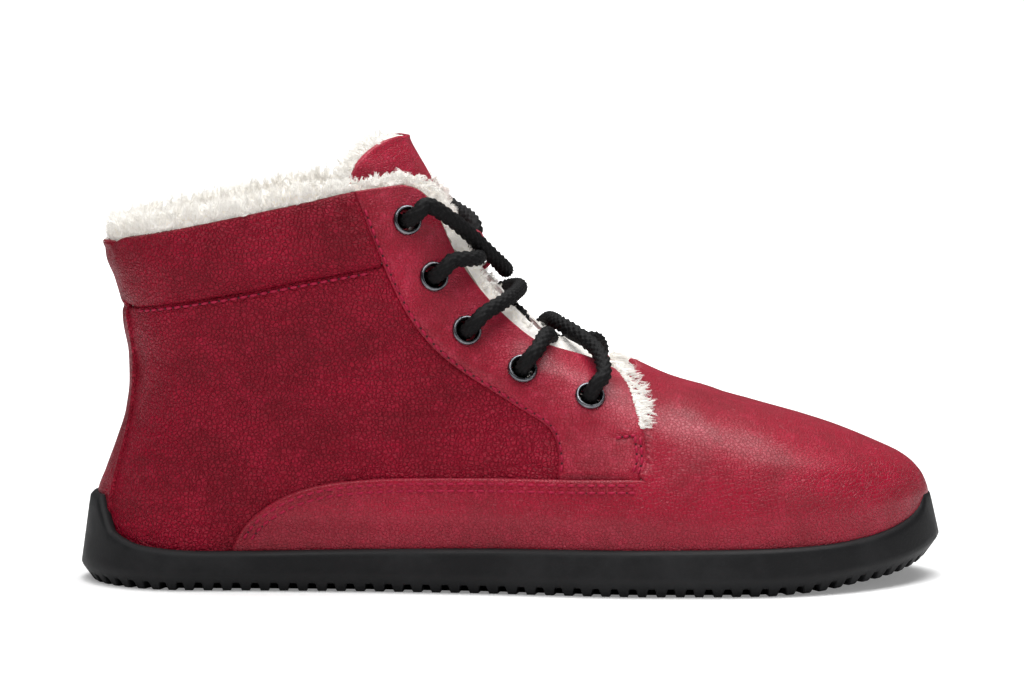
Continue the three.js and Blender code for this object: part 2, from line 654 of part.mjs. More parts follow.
const lateralEnd = lateral(-44, 114, laceInside);
const medialEnd = medial(-44, 114, laceInside);
const underLowestPair = ridge(73.8, laceInside + 0.2);
const inLoop = tongueTop + 2 * GAP + LACE_D / 2;
const laceRoute = [
  medial(-40.5, 114.2, laceInside),
  ...outOf(1, MEDIAL, medialEnd),
  medial(-20.5, 113, laceOutside + 1),
  medial(-10.5, 110, -1.6),
  ridge(LOOP_HEIGHT + 1, inLoop, 7),
  ridge(LOOP_HEIGHT, inLoop),
  ridge(LOOP_HEIGHT - 1, inLoop, -7),
  lateral(-13, 100.5, laceOutside + 0.8),
  ...throughEyelet(2, LATERAL, eyeletPlace(3, LATERAL)),
  lateral(-18.5, 88, laceInside),
  ...outOf(3, LATERAL, eyeletPlace(2, LATERAL)),
  lateral(-3.5, 87, laceOutside + 0.6),
  ridge(91.5, -1.5),
  medial(-3.5, 87, laceOutside + 0.6),
  ...throughEyelet(3, MEDIAL, eyeletPlace(4, MEDIAL)),
  medial(-5, 73.5, laceInside),
  ...outOf(4, MEDIAL, eyeletPlace(3, MEDIAL)),
  medial(9.2, 75.3, laceOutside + 1),
  ridge(79.5, 0),
  lateral(25.5, 68.8, laceOutside + 1.5),
  ...throughEyelet(5, LATERAL, underLowestPair),
  underLowestPair,
  ...outOf(5, MEDIAL, underLowestPair),
  medial(25.5, 68.8, laceOutside + 1.5),
  ridge(77.5, -5.2),
  lateral(9.2, 75.3, laceOutside + 1),
  ...throughEyelet(4, LATERAL, ridge(86, laceInside)),
  ridge(86.5, laceInside + 1.2),
  medial(-8, 88.5, laceInside + 0.6),
  ...outOf(2, MEDIAL, ridge(92, laceInside)),
  medial(-12, 100, laceOutside + 0.8),
  ridge(97.2, -2.4),
  lateral(-20.5, 113, laceOutside + 1),
  ...throughEyelet(1, LATERAL, lateralEnd),
  lateral(-40.5, 114.2, laceInside),
];

function tube(points, radius, steps, sides = 8) {
  const curve = new THREE.CatmullRomCurve3(points, false, 'centripetal');
  const section = [];
  for (let i = 0; i < sides; i++) {
    const angle = (2 * Math.PI * i) / sides;
    section.push(new THREE.Vector2(radius * Math.cos(angle), radius * Math.sin(angle)));
  }
  return new THREE.ExtrudeGeometry(new THREE.Shape(section), { steps, extrudePath: curve });
}
add('lace', toSolid(tube(laceRoute, LACE_D / 2, 150, 6)), BLACK_CORD);

// Each free end hangs down the lining inside the shaft and lies forward along the insole.
const laceOnInsole = footTop + GAP + LACE_D / 2;
function tailRoute(side) {
  const at = over(side);
  const low = (laceOnInsole + 0.3) / TALL;
  const wall = liningTop - PILE - GAP - LACE_D / 2 - 0.3;
  return [
    at(-41.4, 114.3, laceInside),
    at(-46, 114, laceInside - 0.8),
    at(-51, 110.5, wall - 0.6),
    at(-54, 103, wall - 0.6),
    at(-54, 94, wall - 0.6),
    at(-52, 82, wall - 0.6),
    at(-50, 70, wall - 0.6),
    at(-48, 58, wall - 0.6),
    at(-45, 46, wall - 0.6),
    at(-40, 35, wall - 1),
    at(-32, 26, wall - 1.5),
    at(-20, 19.5, wall - 2.5),
    at(-8, low, wall - 4),
    at(6, low, wall - 5),
    at(20, low, wall - 6.5),
    at(34, low, wall - 8),
    at(48, low, wall - 9),
    at(62, low, wall - 9),
    at(74, low + 0.2, wall - 9),
    at(84, low + 0.6, wall - 8),
  ];
}
for (const [sideName, side] of SIDES) {
  const route = tailRoute(side);
  add(`lace_tail_${sideName}`, toSolid(tube(route, LACE_D / 2, 26)), BLACK_CORD);
  const ahead = new THREE.Vector3(1, 0, AGLET_RISE).normalize();
  const from = route.at(-1).clone().addScaledVector(ahead, GAP);
  const aglet = new THREE.CylinderGeometry(AGLET_R, AGLET_R, AGLET_LENGTH, 10);
  aglet.translate(0, AGLET_LENGTH / 2, 0);
  add(`aglet_${sideName}`, toSolid(onAxis(aglet, { place: from, axis: ahead })), CLEAR_TIP);
}

// A strap of leather sewn over the tongue, which the lace runs through.
function laceLoop() {
  const inner = new THREE.Vector2(LOOP_LENGTH / 2, LACE_D + 2 * GAP);
  const arch = (half, height) =>
    [0, 30, 60, 90, 120, 150, 180].map((turn) => {
      const angle = degrees(turn);
      const round = (value) => Math.sign(value) * Math.sqrt(Math.abs(value));
      return new THREE.Vector2(half * round(Math.cos(angle)), height * round(Math.sin(angle)));
    });
  const shape = new THREE.Shape([
    ...arch(inner.x + LOOP_STRAP, inner.y + LOOP_STRAP),
    ...reversed(arch(inner.x, inner.y)),
  ]);
  const strap = new THREE.ExtrudeGeometry(shape, { depth: LOOP_WIDTH, bevelEnabled: false });
  strap.translate(0, 0, -LOOP_WIDTH / 2);
  const out = skinNormal(0, LOOP_HEIGHT * TALL);
  const across = new THREE.Vector3(0, 1, 0);
  const along = out.clone().cross(across).normalize();
  strap.applyMatrix4(new THREE.Matrix4().makeBasis(along, out, along.clone().cross(out)));
  const seat = ridge(LOOP_HEIGHT, tongueTop + GAP + 0.1);
  strap.translate(seat.x, seat.y, seat.z);
  return toSolid(strap);
}
add('tongue_lace_loop', laceLoop(), CRIMSON);

export default group;
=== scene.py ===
import math

import bpy
import numpy as np
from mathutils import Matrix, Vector
from mathutils.geometry import delaunay_2d_cdt


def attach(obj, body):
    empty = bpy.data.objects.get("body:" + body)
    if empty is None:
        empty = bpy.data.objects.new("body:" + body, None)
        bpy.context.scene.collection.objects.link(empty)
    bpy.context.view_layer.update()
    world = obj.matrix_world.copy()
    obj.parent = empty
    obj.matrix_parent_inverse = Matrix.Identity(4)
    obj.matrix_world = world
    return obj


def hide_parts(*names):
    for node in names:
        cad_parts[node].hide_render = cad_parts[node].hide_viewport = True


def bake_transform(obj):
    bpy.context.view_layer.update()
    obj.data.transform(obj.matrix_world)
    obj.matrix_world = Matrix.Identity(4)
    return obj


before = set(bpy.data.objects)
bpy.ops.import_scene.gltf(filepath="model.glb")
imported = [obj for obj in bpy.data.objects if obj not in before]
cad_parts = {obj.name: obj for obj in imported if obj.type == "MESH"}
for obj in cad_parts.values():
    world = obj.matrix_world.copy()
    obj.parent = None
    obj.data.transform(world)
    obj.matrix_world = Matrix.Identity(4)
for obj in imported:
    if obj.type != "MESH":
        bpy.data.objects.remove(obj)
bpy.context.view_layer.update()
scene = bpy.context.scene
mm = 0.001  # lengths below are in millimetres, as on the pattern of the boot
chance = np.random.default_rng(11)

# the camera, level with the ankle and looking at the outer side
camera = {
    "target": (0.3, 0.0, 73.6),
    "elevation": 5.5,
    "distance": 1600.0,
    "viewWidth": 318.5,
    "sensor": 36.0,
}
cameraData = bpy.data.cameras.new("camera")
cameraData.sensor_width = camera["sensor"]
cameraData.lens = camera["sensor"] * camera["distance"] / camera["viewWidth"]
cameraData.clip_end = 20
cameraObject = bpy.data.objects.new("camera", cameraData)
tilt = math.radians(camera["elevation"])
cameraObject.location = [
    camera["target"][0] * mm,
    (camera["target"][1] - camera["distance"] * math.cos(tilt)) * mm,
    (camera["target"][2] + camera["distance"] * math.sin(tilt)) * mm,
]
cameraObject.rotation_euler = (math.pi / 2 - tilt, 0, 0)
scene.collection.objects.link(cameraObject)
scene.camera = cameraObject
print("camera ready")


# the last that the upper is pulled over
def curveThrough(points):
    at, value = np.array(points, float).T
    slope = np.diff(value) / np.diff(at)
    lean = np.concatenate([slope[:1], np.zeros(len(at) - 2), slope[-1:]])
    before, after = slope[:-1], slope[1:]
    turning = before * after <= 0
    lean[1:-1] = np.where(turning, 0, 2 * before * after / np.where(turning, 1, before + after))

    def curve(x):
        x = np.clip(np.asarray(x, float), at[0], at[-1])
        i = np.clip(np.searchsorted(at, x, side="right") - 1, 0, len(at) - 2)
        span = at[i + 1] - at[i]
        t = (x - at[i]) / span
        u = 1 - t
        ends = value[i] * u * u * (1 + 2 * t) + value[i + 1] * t * t * (1 + 2 * u)
        return ends + span * t * u * (lean[i] * u - lean[i + 1] * t)

    return curve


def smoothStep(low, high, x):
    t = np.clip((np.asarray(x, float) - low) / (high - low), 0, 1)
    return t * t * (3 - 2 * t)


def roundedShare(distance, length):
    u = 1 - np.clip(np.asarray(distance, float) / length, 0, 1)
    return np.sqrt(1 - u * u)


last = {
    "soleHalf": [
        [-134, 33], [-100, 34], [-60, 34.5], [-20, 36.5], [10, 41.5], [40, 48], [70, 50],
        [100, 48.5], [134, 42],
    ],
    "soleMiddle": [
        [-134, -0.9], [-100, -1.4], [-50, -2.6], [-15, -4.3], [10, -4.3], [50, -1.5], [85, 1.3],
        [112, 4.1], [134, 5.9],
    ],
    "toeSpring": [[78, 0], [95, 0.8], [108, 2.3], [120, 3.6], [128, 5.4], [134, 8]],
    "rimHeight": [
        [-130.5, 27.4], [-128, 22.3], [-124.4, 16.8], [-113, 13.4], [-94, 12.4], [-50, 13.2], [0, 14.2],
        [60, 14.6], [95, 15.2], [110, 16.3], [118, 17.8], [125.6, 20.4], [129.4, 23], [131.5, 27],
    ],
    "backLine": [
        [14, -128.8], [27, -128.3], [34, -126], [44, -122.2], [53, -119.4], [62, -118.4], [70, -118.6],
        [80, -120.2], [86, -120.6], [94, -122.8], [101, -125.4], [112, -126.2], [150, -127],
    ],
    "frontLine": [
        [14, 130.3], [26, 130.5], [31, 129], [35.5, 125.6], [38.5, 121.6], [42, 114.4], [46.7, 103.3],
        [51.6, 88.3], [56.6, 70.5], [62.5, 51.5], [66.4, 40.5], [69, 33.5], [72.5, 26], [77, 18],
        [83, 11], [90, 5], [98, 0], [107, -4.2], [116, -8.2], [123, -12], [140, -20.5], [150, -25],
    ],
    "shaftHalf": [[20, 30], [50, 30.5], [70, 32.5], [90, 34.2], [105, 35.2], [125, 36], [150, 36.5]],
    "backRound": [[14, 32], [50, 33], [80, 38], [105, 45], [150, 47]],
    "frontRound": [[14, 55], [50, 60], [60, 53], [68, 46], [80, 47], [105, 54], [150, 58]],
}
soleHalf, soleMiddle, toeSpring, rimHeight, backLine, frontLine, shaftHalf, backRound, frontRound = [
    curveThrough(points) for points in last.values()
]


def skin(angle, z):  # outside of the leather: angle 0 on the front line, 90 degrees on the inner side
    angle, z = np.broadcast_arrays(np.asarray(angle, float), np.asarray(z, float))
    back, front = backLine(z), frontLine(z)
    x = (back + front) / 2 + (front - back) / 2 * np.cos(angle)
    low = soleHalf(x) - 4.2
    width = low + (shaftHalf(z) - low) * smoothStep(22, 74, z)
    half = width * roundedShare(x - back, backRound(z)) * roundedShare(front - x, frontRound(z))
    middle = soleMiddle(x) * (1 - smoothStep(20, 80, z))
    return np.stack([x, middle + np.sign(np.sin(angle)) * half, z], -1)


def skinNormal(angle, z):
    along = skin(angle + 0.02, z) - skin(angle - 0.02, z)
    up = skin(angle, z + 0.5) - skin(angle, z - 0.5)
    normal = np.cross(along, up)
    return normal / np.linalg.norm(normal, axis=-1, keepdims=True)


def angleAt(x, z, side):
    back, front = backLine(z), frontLine(z)
    share = (np.asarray(x, float) - (back + front) / 2) / ((front - back) / 2)
    return side * np.arccos(np.clip(share, -1, 1))


def onUpper(x, z, side, offset=0.0):
    angle = angleAt(x, z, side)
    return skin(angle, z) + skinNormal(angle, z) * np.asarray(offset)[..., None]


def ridge(z, offset, aside=0.0):
    point = skin(0.0, z) + skinNormal(0.0, z) * offset
    point[1] = aside
    return point


def unit(v):
    return v / np.linalg.norm(v, axis=-1, keepdims=True)


# lines
def between(points, column, low, high):
    return points[(points[:, column] > low) & (points[:, column] < high)]


def smoothLine(points, perSpan=12):
    p = np.array(points, float)
    p = np.vstack([p[:1], p, p[-1:]])
    t = np.linspace(0, 1, perSpan, endpoint=False)[:, None]
    spans = []
    for a, b, c, d in zip(p, p[1:], p[2:], p[3:]):
        v0, v1 = (c - a) / 2, (d - b) / 2
        spans.append((2 * b - 2 * c + v0 + v1) * t**3 + (-3 * b + 3 * c - 2 * v0 - v1) * t**2 + v0 * t + b)
    return np.vstack(spans + [p[-1:]])


def evenly(points, gap, closed=False):
    p = np.vstack([points, points[:1]]) if closed else np.asarray(points)
    run = np.concatenate([[0], np.cumsum(np.linalg.norm(np.diff(p, axis=0), axis=1))])
    count = max(2, int(round(run[-1] / gap)) + 1)
    at = np.linspace(0, run[-1], count)
    out = np.stack([np.interp(at, run, p[:, k]) for k in range(p.shape[1])], 1)
    return out[:-1] if closed else out


def latticeNoise(p, cell, seed=0):
    q = np.asarray(p, float) / cell + 1000
    i = np.floor(q).astype(np.int64)
    f = q - i
    u = f * f * (3 - 2 * f)
    total = 0
    for corner in range(8):
        dx, dy, dz = corner & 1, corner >> 1 & 1, corner >> 2 & 1
        h = (i[..., 0] + dx) * 73856093 ^ (i[..., 1] + dy) * 19349663
        h = h ^ (i[..., 2] + dz) * 83492791 ^ seed * 40503
        h = (h ^ (h >> 13)) * 1274126177 & 0xFFFFFFFF
        h = (h ^ (h >> 16)) & 0xFFFF
        weight = (u[..., 0] if dx else 1 - u[..., 0]) * (u[..., 1] if dy else 1 - u[..., 1])
        total = total + weight * (u[..., 2] if dz else 1 - u[..., 2]) * (h / 32767.5 - 1)
    return total


def nearest(points, targets, chunk=4000):
    out = np.empty(len(points))
    squares = (targets**2).sum(1)
    for start in range(0, len(points), chunk):
        p = points[start : start + chunk]
        gap = (p**2).sum(1)[:, None] + squares[None] - 2 * p @ targets.T
        out[start : start + chunk] = np.sqrt(np.maximum(gap.min(1), 0))
    return out


def insideLoop(points, loop, chunk=6000):
    a, b = loop, np.roll(loop, -1, 0)
    out = np.zeros(len(points), bool)
    rise = np.where(b[:, 1] == a[:, 1], 1e-12, b[:, 1] - a[:, 1])
    for start in range(0, len(points), chunk):
        p = points[start : start + chunk]
        spans = (a[None, :, 1] > p[:, None, 1]) != (b[None, :, 1] > p[:, None, 1])
        cross = a[None, :, 0] + (p[:, None, 1] - a[None, :, 1]) * (b - a)[None, :, 0] / rise[None]
        out[start : start + chunk] = (spans & (p[:, None, 0] < cross)).sum(1) % 2 == 1
    return out


# meshes
def makeMesh(name, points, faces, material, flat=False):
    mesh = bpy.data.meshes.new(name)
    groups = [np.asarray(f, np.int32) for f in (faces if isinstance(faces, list) else [faces]) if len(f)]
    corners = np.concatenate([g.ravel() for g in groups])
    sizes = np.concatenate([np.full(len(g), g.shape[1]) for g in groups])
    mesh.vertices.add(len(points))
    mesh.vertices.foreach_set("co", (np.asarray(points) * mm).astype(np.float32).ravel())
    mesh.loops.add(len(corners))
    mesh.loops.foreach_set("vertex_index", corners)
    mesh.polygons.add(len(sizes))
    mesh.polygons.foreach_set("loop_start", (np.cumsum(sizes) - sizes).astype(np.int32))
    mesh.update(calc_edges=True)
    mesh.validate()
    if not flat:
        mesh.shade_smooth()
    mesh.materials.append(material)
    thing = bpy.data.objects.new(name, mesh)
    scene.collection.objects.link(thing)
    return thing


def ringFaces(rings, count):
    # four-sided faces between rings of points that follow one another
    ids = np.arange(count)
    a = np.arange(rings - 1)[:, None] * count + ids
    b = np.arange(rings - 1)[:, None] * count + np.roll(ids, -1)
    return np.stack([a, b, b + count, a + count], -1).reshape(-1, 4)


grid = {"edgeStep": 0.9, "ringDepths": (0.35, 0.8, 1.5), "fieldFrom": 2.1, "rowStep": 0.87}


def sheetMesh(outline, spacing, stretch):
    # triangles over a region of the upper, its outline given as angle and height
    loop = np.array(outline, float)
    area = np.sum(loop[:, 0] * np.roll(loop[:, 1], -1) - np.roll(loop[:, 0], -1) * loop[:, 1])
    if area < 0:
        loop = loop[::-1]
    edge = skin(loop[:, 0], loop[:, 1])
    run = np.linalg.norm(np.roll(edge, -1, 0) - edge, axis=1)
    at = np.concatenate([[0], np.cumsum(run)])
    count = int(at[-1] / grid["edgeStep"])
    where = np.linspace(0, at[-1], count, endpoint=False)
    wrapped = np.vstack([loop, loop[:1]])
    loop = np.stack([np.interp(where, at, wrapped[:, k]) for k in range(2)], 1)
    edge = skin(loop[:, 0], loop[:, 1])
    normal = skinNormal(loop[:, 0], loop[:, 1])
    along = unit(np.roll(edge, -1, 0) - np.roll(edge, 1, 0))
    inward = np.cross(normal, along)
    d = 1e-3
    byAngle = (skin(loop[:, 0] + d, loop[:, 1]) - edge) / d
    byHeight = (skin(loop[:, 0], loop[:, 1] + d) - edge) / d
    aa, ab, bb = (byAngle**2).sum(1), (byAngle * byHeight).sum(1), (byHeight**2).sum(1)
    ra, rb = (byAngle * inward).sum(1), (byHeight * inward).sum(1)
    det = np.maximum(aa * bb - ab * ab, 1e-6)
    inwardStep = np.stack([(ra * bb - rb * ab) / det, (rb * aa - ra * ab) / det], 1)
    rings = []
    for depth in grid["ringDepths"]:
        ring = loop + inwardStep * depth
        ring = ring[insideLoop(ring, loop)]
        rings.append(ring[nearest(skin(ring[:, 0], ring[:, 1]), edge) > 0.8 * depth])
    low, high = loop.min(0), loop.max(0)
    heights = np.arange(low[1], high[1], spacing * grid["rowStep"])
    angles = np.arange(low[0], high[0] + spacing / stretch, spacing / stretch)
    field = np.array(
        [[a + (k % 2) * 0.5 * spacing / stretch, h] for k, h in enumerate(heights) for a in angles]
    )
    field = field[insideLoop(field, loop)]
    field = field[nearest(skin(field[:, 0], field[:, 1]), edge) > grid["fieldFrom"]]
    flatPoints = np.vstack([loop, *rings, field]) * [stretch, 1]
    verts, _, faces, orig, _, _ = delaunay_2d_cdt(
        [Vector(p) for p in flatPoints], [], [list(range(len(loop)))], 1, 1e-7
    )
    spots = np.array([v[:] for v in verts]) / [stretch, 1]
    order = np.full(len(loop), -1)
    for k, sources in enumerate(orig):
        for source in sources:
            if source < len(loop):
                order[source] = k
    points = skin(spots[:, 0], spots[:, 1])
    return {
        "z": spots[:, 1],
        "point": points,
        "normal": skinNormal(spots[:, 0], spots[:, 1]),
        "faces": np.array(faces),
        "loop": order[order >= 0],
        "inset": nearest(points, edge),
    }


def edgeDrop(inset, radius):
    short = np.clip(radius - inset, 0, radius)
    return radius - np.sqrt(np.maximum(radius**2 - short**2, 0))


def leatherPiece(name, sheet, height, material, thickness=1.4, radius=0.8):
    # one cut panel: a face with a rounded edge and a wall down to the flesh side
    top = sheet["point"] + sheet["normal"] * (height - edgeDrop(sheet["inset"], radius))[:, None]
    loop = sheet["loop"]
    wallTop = sheet["point"][loop] + sheet["normal"][loop] * (height[loop] - thickness)[:, None]
    base = len(top)
    low = base + np.arange(len(loop))
    wall = np.stack([np.roll(loop, -1), loop, low, np.roll(low, -1)], 1)
    return makeMesh(name, np.vstack([top, wallTop]), [sheet["faces"], wall], material)


def sideLoop(points, side):
    p = np.asarray(points, float)
    return np.stack([angleAt(p[:, 0], p[:, 1], side), p[:, 1]], 1)


print("pattern ready")


# materials
def nodeOf(tree, kind, inputs=None, **settings):
    made = tree.nodes.new(kind)
    for key, value in settings.items():
        setattr(made, key, value)
    for key, value in (inputs or {}).items():
        if isinstance(value, bpy.types.NodeSocket):
            tree.links.new(value, made.inputs[key])
        else:
            made.inputs[key].default_value = value
    return made


def groupTree(name, inputs, outputs):
    tree = bpy.data.node_groups.new(name, "ShaderNodeTree")
    for label, kind, value in inputs:
        socket = tree.interface.new_socket(name=label, in_out="INPUT", socket_type=kind)
        socket.default_value = value
    for label, kind in outputs:
        tree.interface.new_socket(name=label, in_out="OUTPUT", socket_type=kind)
    return tree, tree.nodes.new("NodeGroupInput"), tree.nodes.new("NodeGroupOutput")


def combine(tree, operation, a, b, **settings):
    return nodeOf(tree, "ShaderNodeMath", {0: a, 1: b}, operation=operation, **settings).outputs[0]


def noiseOf(tree, spot, scale, detail, roughness=0.5, distortion=0.0):
    inputs = {"Vector": spot, "Scale": scale, "Detail": detail}
    inputs.update({"Roughness": roughness, "Distortion": distortion})
    return nodeOf(tree, "ShaderNodeTexNoise", inputs).outputs[0]


def mixColour(tree, share, a, b):
    made = tree.nodes.new("ShaderNodeMix")
    made.data_type = "RGBA"
    for socket, value in ((made.inputs[0], share), (made.inputs[6], a), (made.inputs[7], b)):
        if isinstance(value, bpy.types.NodeSocket):
            tree.links.new(value, socket)
        else:
            socket.default_value = value
    return made.outputs[2]


def mapped(tree, value, low, high, start=0.0, end=1.0):
    made = nodeOf(tree, "ShaderNodeMapRange", {0: value, 1: low, 2: high, 3: start, 4: end})
    made.interpolation_type = "SMOOTHSTEP"
    return made.outputs[0]


def leatherGroup():
    tree, source, target = groupTree(
        "grained hide",
        [
            ("Dark", "NodeSocketColor", (0.1, 0, 0, 1)),
            ("Middle", "NodeSocketColor", (0.3, 0, 0, 1)),
            ("Light", "NodeSocketColor", (0.5, 0.1, 0.1, 1)),
            ("Cloud Scale", "NodeSocketFloat", 40.0),
            ("Grain Scale", "NodeSocketFloat", 800.0),
            ("Crease", "NodeSocketFloat", 0.5),
        ],
        [("Color", "NodeSocketColor"), ("Roughness", "NodeSocketFloat"), ("Height", "NodeSocketFloat")],
    )
    spot = nodeOf(tree, "ShaderNodeTexCoord").outputs["Object"]
    cloud = noiseOf(tree, spot, source.outputs["Cloud Scale"], 4.0, 0.6)
    smear = noiseOf(tree, spot, 210.0, 3.0, 0.65)
    pebble = nodeOf(
        tree, "ShaderNodeTexVoronoi", {"Vector": spot, "Scale": source.outputs["Grain Scale"]},
        feature="DISTANCE_TO_EDGE",
    )
    bent = nodeOf(
        tree, "ShaderNodeMapping",
        {"Vector": spot, "Rotation": (0.0, 0.5, 0.0), "Scale": (0.55, 1.0, 2.0)},
    )
    wrinkle = noiseOf(tree, bent.outputs[0], 120.0, 5.0, 0.7, 0.6)
    pits = mapped(tree, pebble.outputs["Distance"], 0.0, 0.16)
    deep = mapped(tree, cloud, 0.3, 0.66)
    colour = mixColour(tree, deep, source.outputs["Dark"], source.outputs["Middle"])
    bright = mapped(tree, smear, 0.45, 0.8, 0.0, 0.6)
    colour = mixColour(tree, bright, colour, source.outputs["Light"])
    # painted shade: the valleys of the wrinkle bump are darkened toward Dark
    folds = mapped(tree, wrinkle, 0.36, 0.56, 0.5, 0.0)
    creaseShadeShare = combine(tree, "MULTIPLY", folds, source.outputs["Crease"])
    colour = mixColour(tree, creaseShadeShare, colour, source.outputs["Dark"])
    # painted shade: the grooves between the pebbles of the grain bump are darkened toward Dark; the same
    # mask also makes them rougher
    grooveShadeAndRoughShare = combine(tree, "SUBTRACT", 1.0, pits)
    grooveShadeAndRoughShare = combine(tree, "MULTIPLY", grooveShadeAndRoughShare, 0.28)
    colour = mixColour(tree, grooveShadeAndRoughShare, colour, source.outputs["Dark"])
    rough = mapped(tree, cloud, 0.3, 0.7, 0.5, 0.36)
    rough = combine(tree, "ADD", rough, combine(tree, "MULTIPLY", grooveShadeAndRoughShare, 0.5))
    high = combine(tree, "MULTIPLY", pits, 0.45)
    creased = combine(tree, "MULTIPLY", wrinkle, source.outputs["Crease"])
    high = combine(tree, "ADD", high, combine(tree, "MULTIPLY", creased, 2.4))
    for label, value in (("Color", colour), ("Roughness", rough), ("Height", high)):
        tree.links.new(value, target.inputs[label])
    return tree


def fibreGroup():
    tree, source, target = groupTree(
        "spun fibre",
        [
            ("Base", "NodeSocketColor", (0.8, 0.75, 0.68, 1)),
            ("Shade", "NodeSocketColor", (0.5, 0.42, 0.33, 1)),
            ("Scale", "NodeSocketFloat", 500.0),
            ("Spread", "NodeSocketFloat", 0.5),
        ],
        [("Color", "NodeSocketColor"), ("Height", "NodeSocketFloat")],
    )
    spot = nodeOf(tree, "ShaderNodeTexCoord").outputs["Object"]
    curl = noiseOf(tree, spot, source.outputs["Scale"], 4.0, 0.7, 1.2)
    patch = noiseOf(tree, spot, 90.0, 2.0)
    # painted shade: the Shade colour darkens the hollows of the curl bump, where curl is low
    share = mapped(tree, curl, 0.38, 0.62, 1.0, 0.0)
    wide = mapped(tree, patch, 0.35, 0.7, 1.0, 0.35)
    share = combine(tree, "MULTIPLY", share, wide)
    share = combine(tree, "MULTIPLY", share, source.outputs["Spread"])
    colour = mixColour(tree, share, source.outputs["Base"], source.outputs["Shade"])
    tree.links.new(colour, target.inputs["Color"])
    tree.links.new(curl, target.inputs["Height"])
    return tree


def wearGroup():
    tree, source, target = groupTree(
        "scuffs and dust",
        [
            ("Clean", "NodeSocketColor", (0.03, 0.03, 0.03, 1)),
            ("Dusty", "NodeSocketColor", (0.12, 0.12, 0.12, 1)),
            ("Scale", "NodeSocketFloat", 60.0),
            ("Rough Low", "NodeSocketFloat", 0.5),
            ("Rough High", "NodeSocketFloat", 0.8),
        ],
        [("Color", "NodeSocketColor"), ("Roughness", "NodeSocketFloat"), ("Height", "NodeSocketFloat")],
    )
    spot = nodeOf(tree, "ShaderNodeTexCoord").outputs["Object"]
    patch = noiseOf(tree, spot, source.outputs["Scale"], 6.0, 0.65)
    speck = noiseOf(tree, spot, 1400.0, 3.0, 0.7)
    share = mapped(tree, patch, 0.4, 0.75)
    fine = mapped(tree, speck, 0.55, 0.75, 0.0, 0.5)
    share = combine(tree, "ADD", share, fine, use_clamp=True)
    colour = mixColour(tree, share, source.outputs["Clean"], source.outputs["Dusty"])
    rough = nodeOf(
        tree, "ShaderNodeMapRange",
        {0: share, 1: 0.0, 2: 1.0, 3: source.outputs["Rough Low"], 4: source.outputs["Rough High"]},
    )
    for label, value in (("Color", colour), ("Roughness", rough.outputs[0]), ("Height", speck)):
        tree.links.new(value, target.inputs[label])
    return tree


grainedHide, spunFibre, scuffsAndDust = leatherGroup(), fibreGroup(), wearGroup()


def surface(name, group, values, fixed, bump, metal=0.0):
    # a material from one of the groups; bump is its strength and depth in metres
    material = bpy.data.materials.new(name)
    material.use_nodes = True
    tree = material.node_tree
    shader = tree.nodes["Principled BSDF"]
    made = tree.nodes.new("ShaderNodeGroup")
    made.node_tree = group
    for key, value in values.items():
        made.inputs[key].default_value = value
    tree.links.new(made.outputs["Color"], shader.inputs["Base Color"])
    if "Roughness" in made.outputs:
        tree.links.new(made.outputs["Roughness"], shader.inputs["Roughness"])
    relief = nodeOf(
        tree, "ShaderNodeBump",
        {"Strength": bump[0], "Distance": bump[1], "Height": made.outputs["Height"]},
    )
    tree.links.new(relief.outputs[0], shader.inputs["Normal"])
    shader.inputs["Metallic"].default_value = metal
    for key, value in fixed.items():
        shader.inputs[key].default_value = value
    if "Emission Strength" in fixed:  # painted glow: the wool emits its own colour, standing in for light scattered from fibre to fibre
        tree.links.new(made.outputs["Color"], shader.inputs["Emission Color"])
    return material


# painted light and shade: one crimson leather in three copies, the facing and vamp made lighter as painted
# highlight, the shaft (quarters, collars, back strip) darker as painted shade
hideLitAndShadedCopies = {
    "vamp": {
        "Dark": (0.25, 0.0016, 0.015, 1), "Middle": (0.37, 0.0025, 0.026, 1),
        "Light": (0.48, 0.010, 0.048, 1),
    },
    "shaft": {
        "Dark": (0.215, 0.0014, 0.013, 1), "Middle": (0.325, 0.002, 0.022, 1),
        "Light": (0.43, 0.007, 0.039, 1),
    },
    "facing": {
        "Dark": (0.29, 0.0025, 0.019, 1), "Middle": (0.44, 0.006, 0.036, 1),
        "Light": (0.60, 0.035, 0.088, 1),
    },
    "gloss": {"Coat Weight": 0.26, "Coat Roughness": 0.3, "Specular IOR Level": 0.3},
    "satin": {"Coat Weight": 0.03, "Coat Roughness": 0.3, "Specular IOR Level": 0.17},
}
vampHidePaintedLight = surface(
    "vampHidePaintedLight", grainedHide, {**hideLitAndShadedCopies["vamp"], "Crease": 0.35, "Grain Scale": 900.0},
    hideLitAndShadedCopies["gloss"], (0.65, 0.001),
)
shaftHidePaintedShade = surface(
    "shaftHidePaintedShade", grainedHide, {**hideLitAndShadedCopies["shaft"], "Crease": 0.8, "Grain Scale": 820.0},
    hideLitAndShadedCopies["satin"], (0.9, 0.0014),
)
facingHidePaintedLight = surface(
    "facingHidePaintedLight", grainedHide, {**hideLitAndShadedCopies["facing"], "Crease": 0.4, "Grain Scale": 1000.0},
    hideLitAndShadedCopies["gloss"], (0.7, 0.001),
)
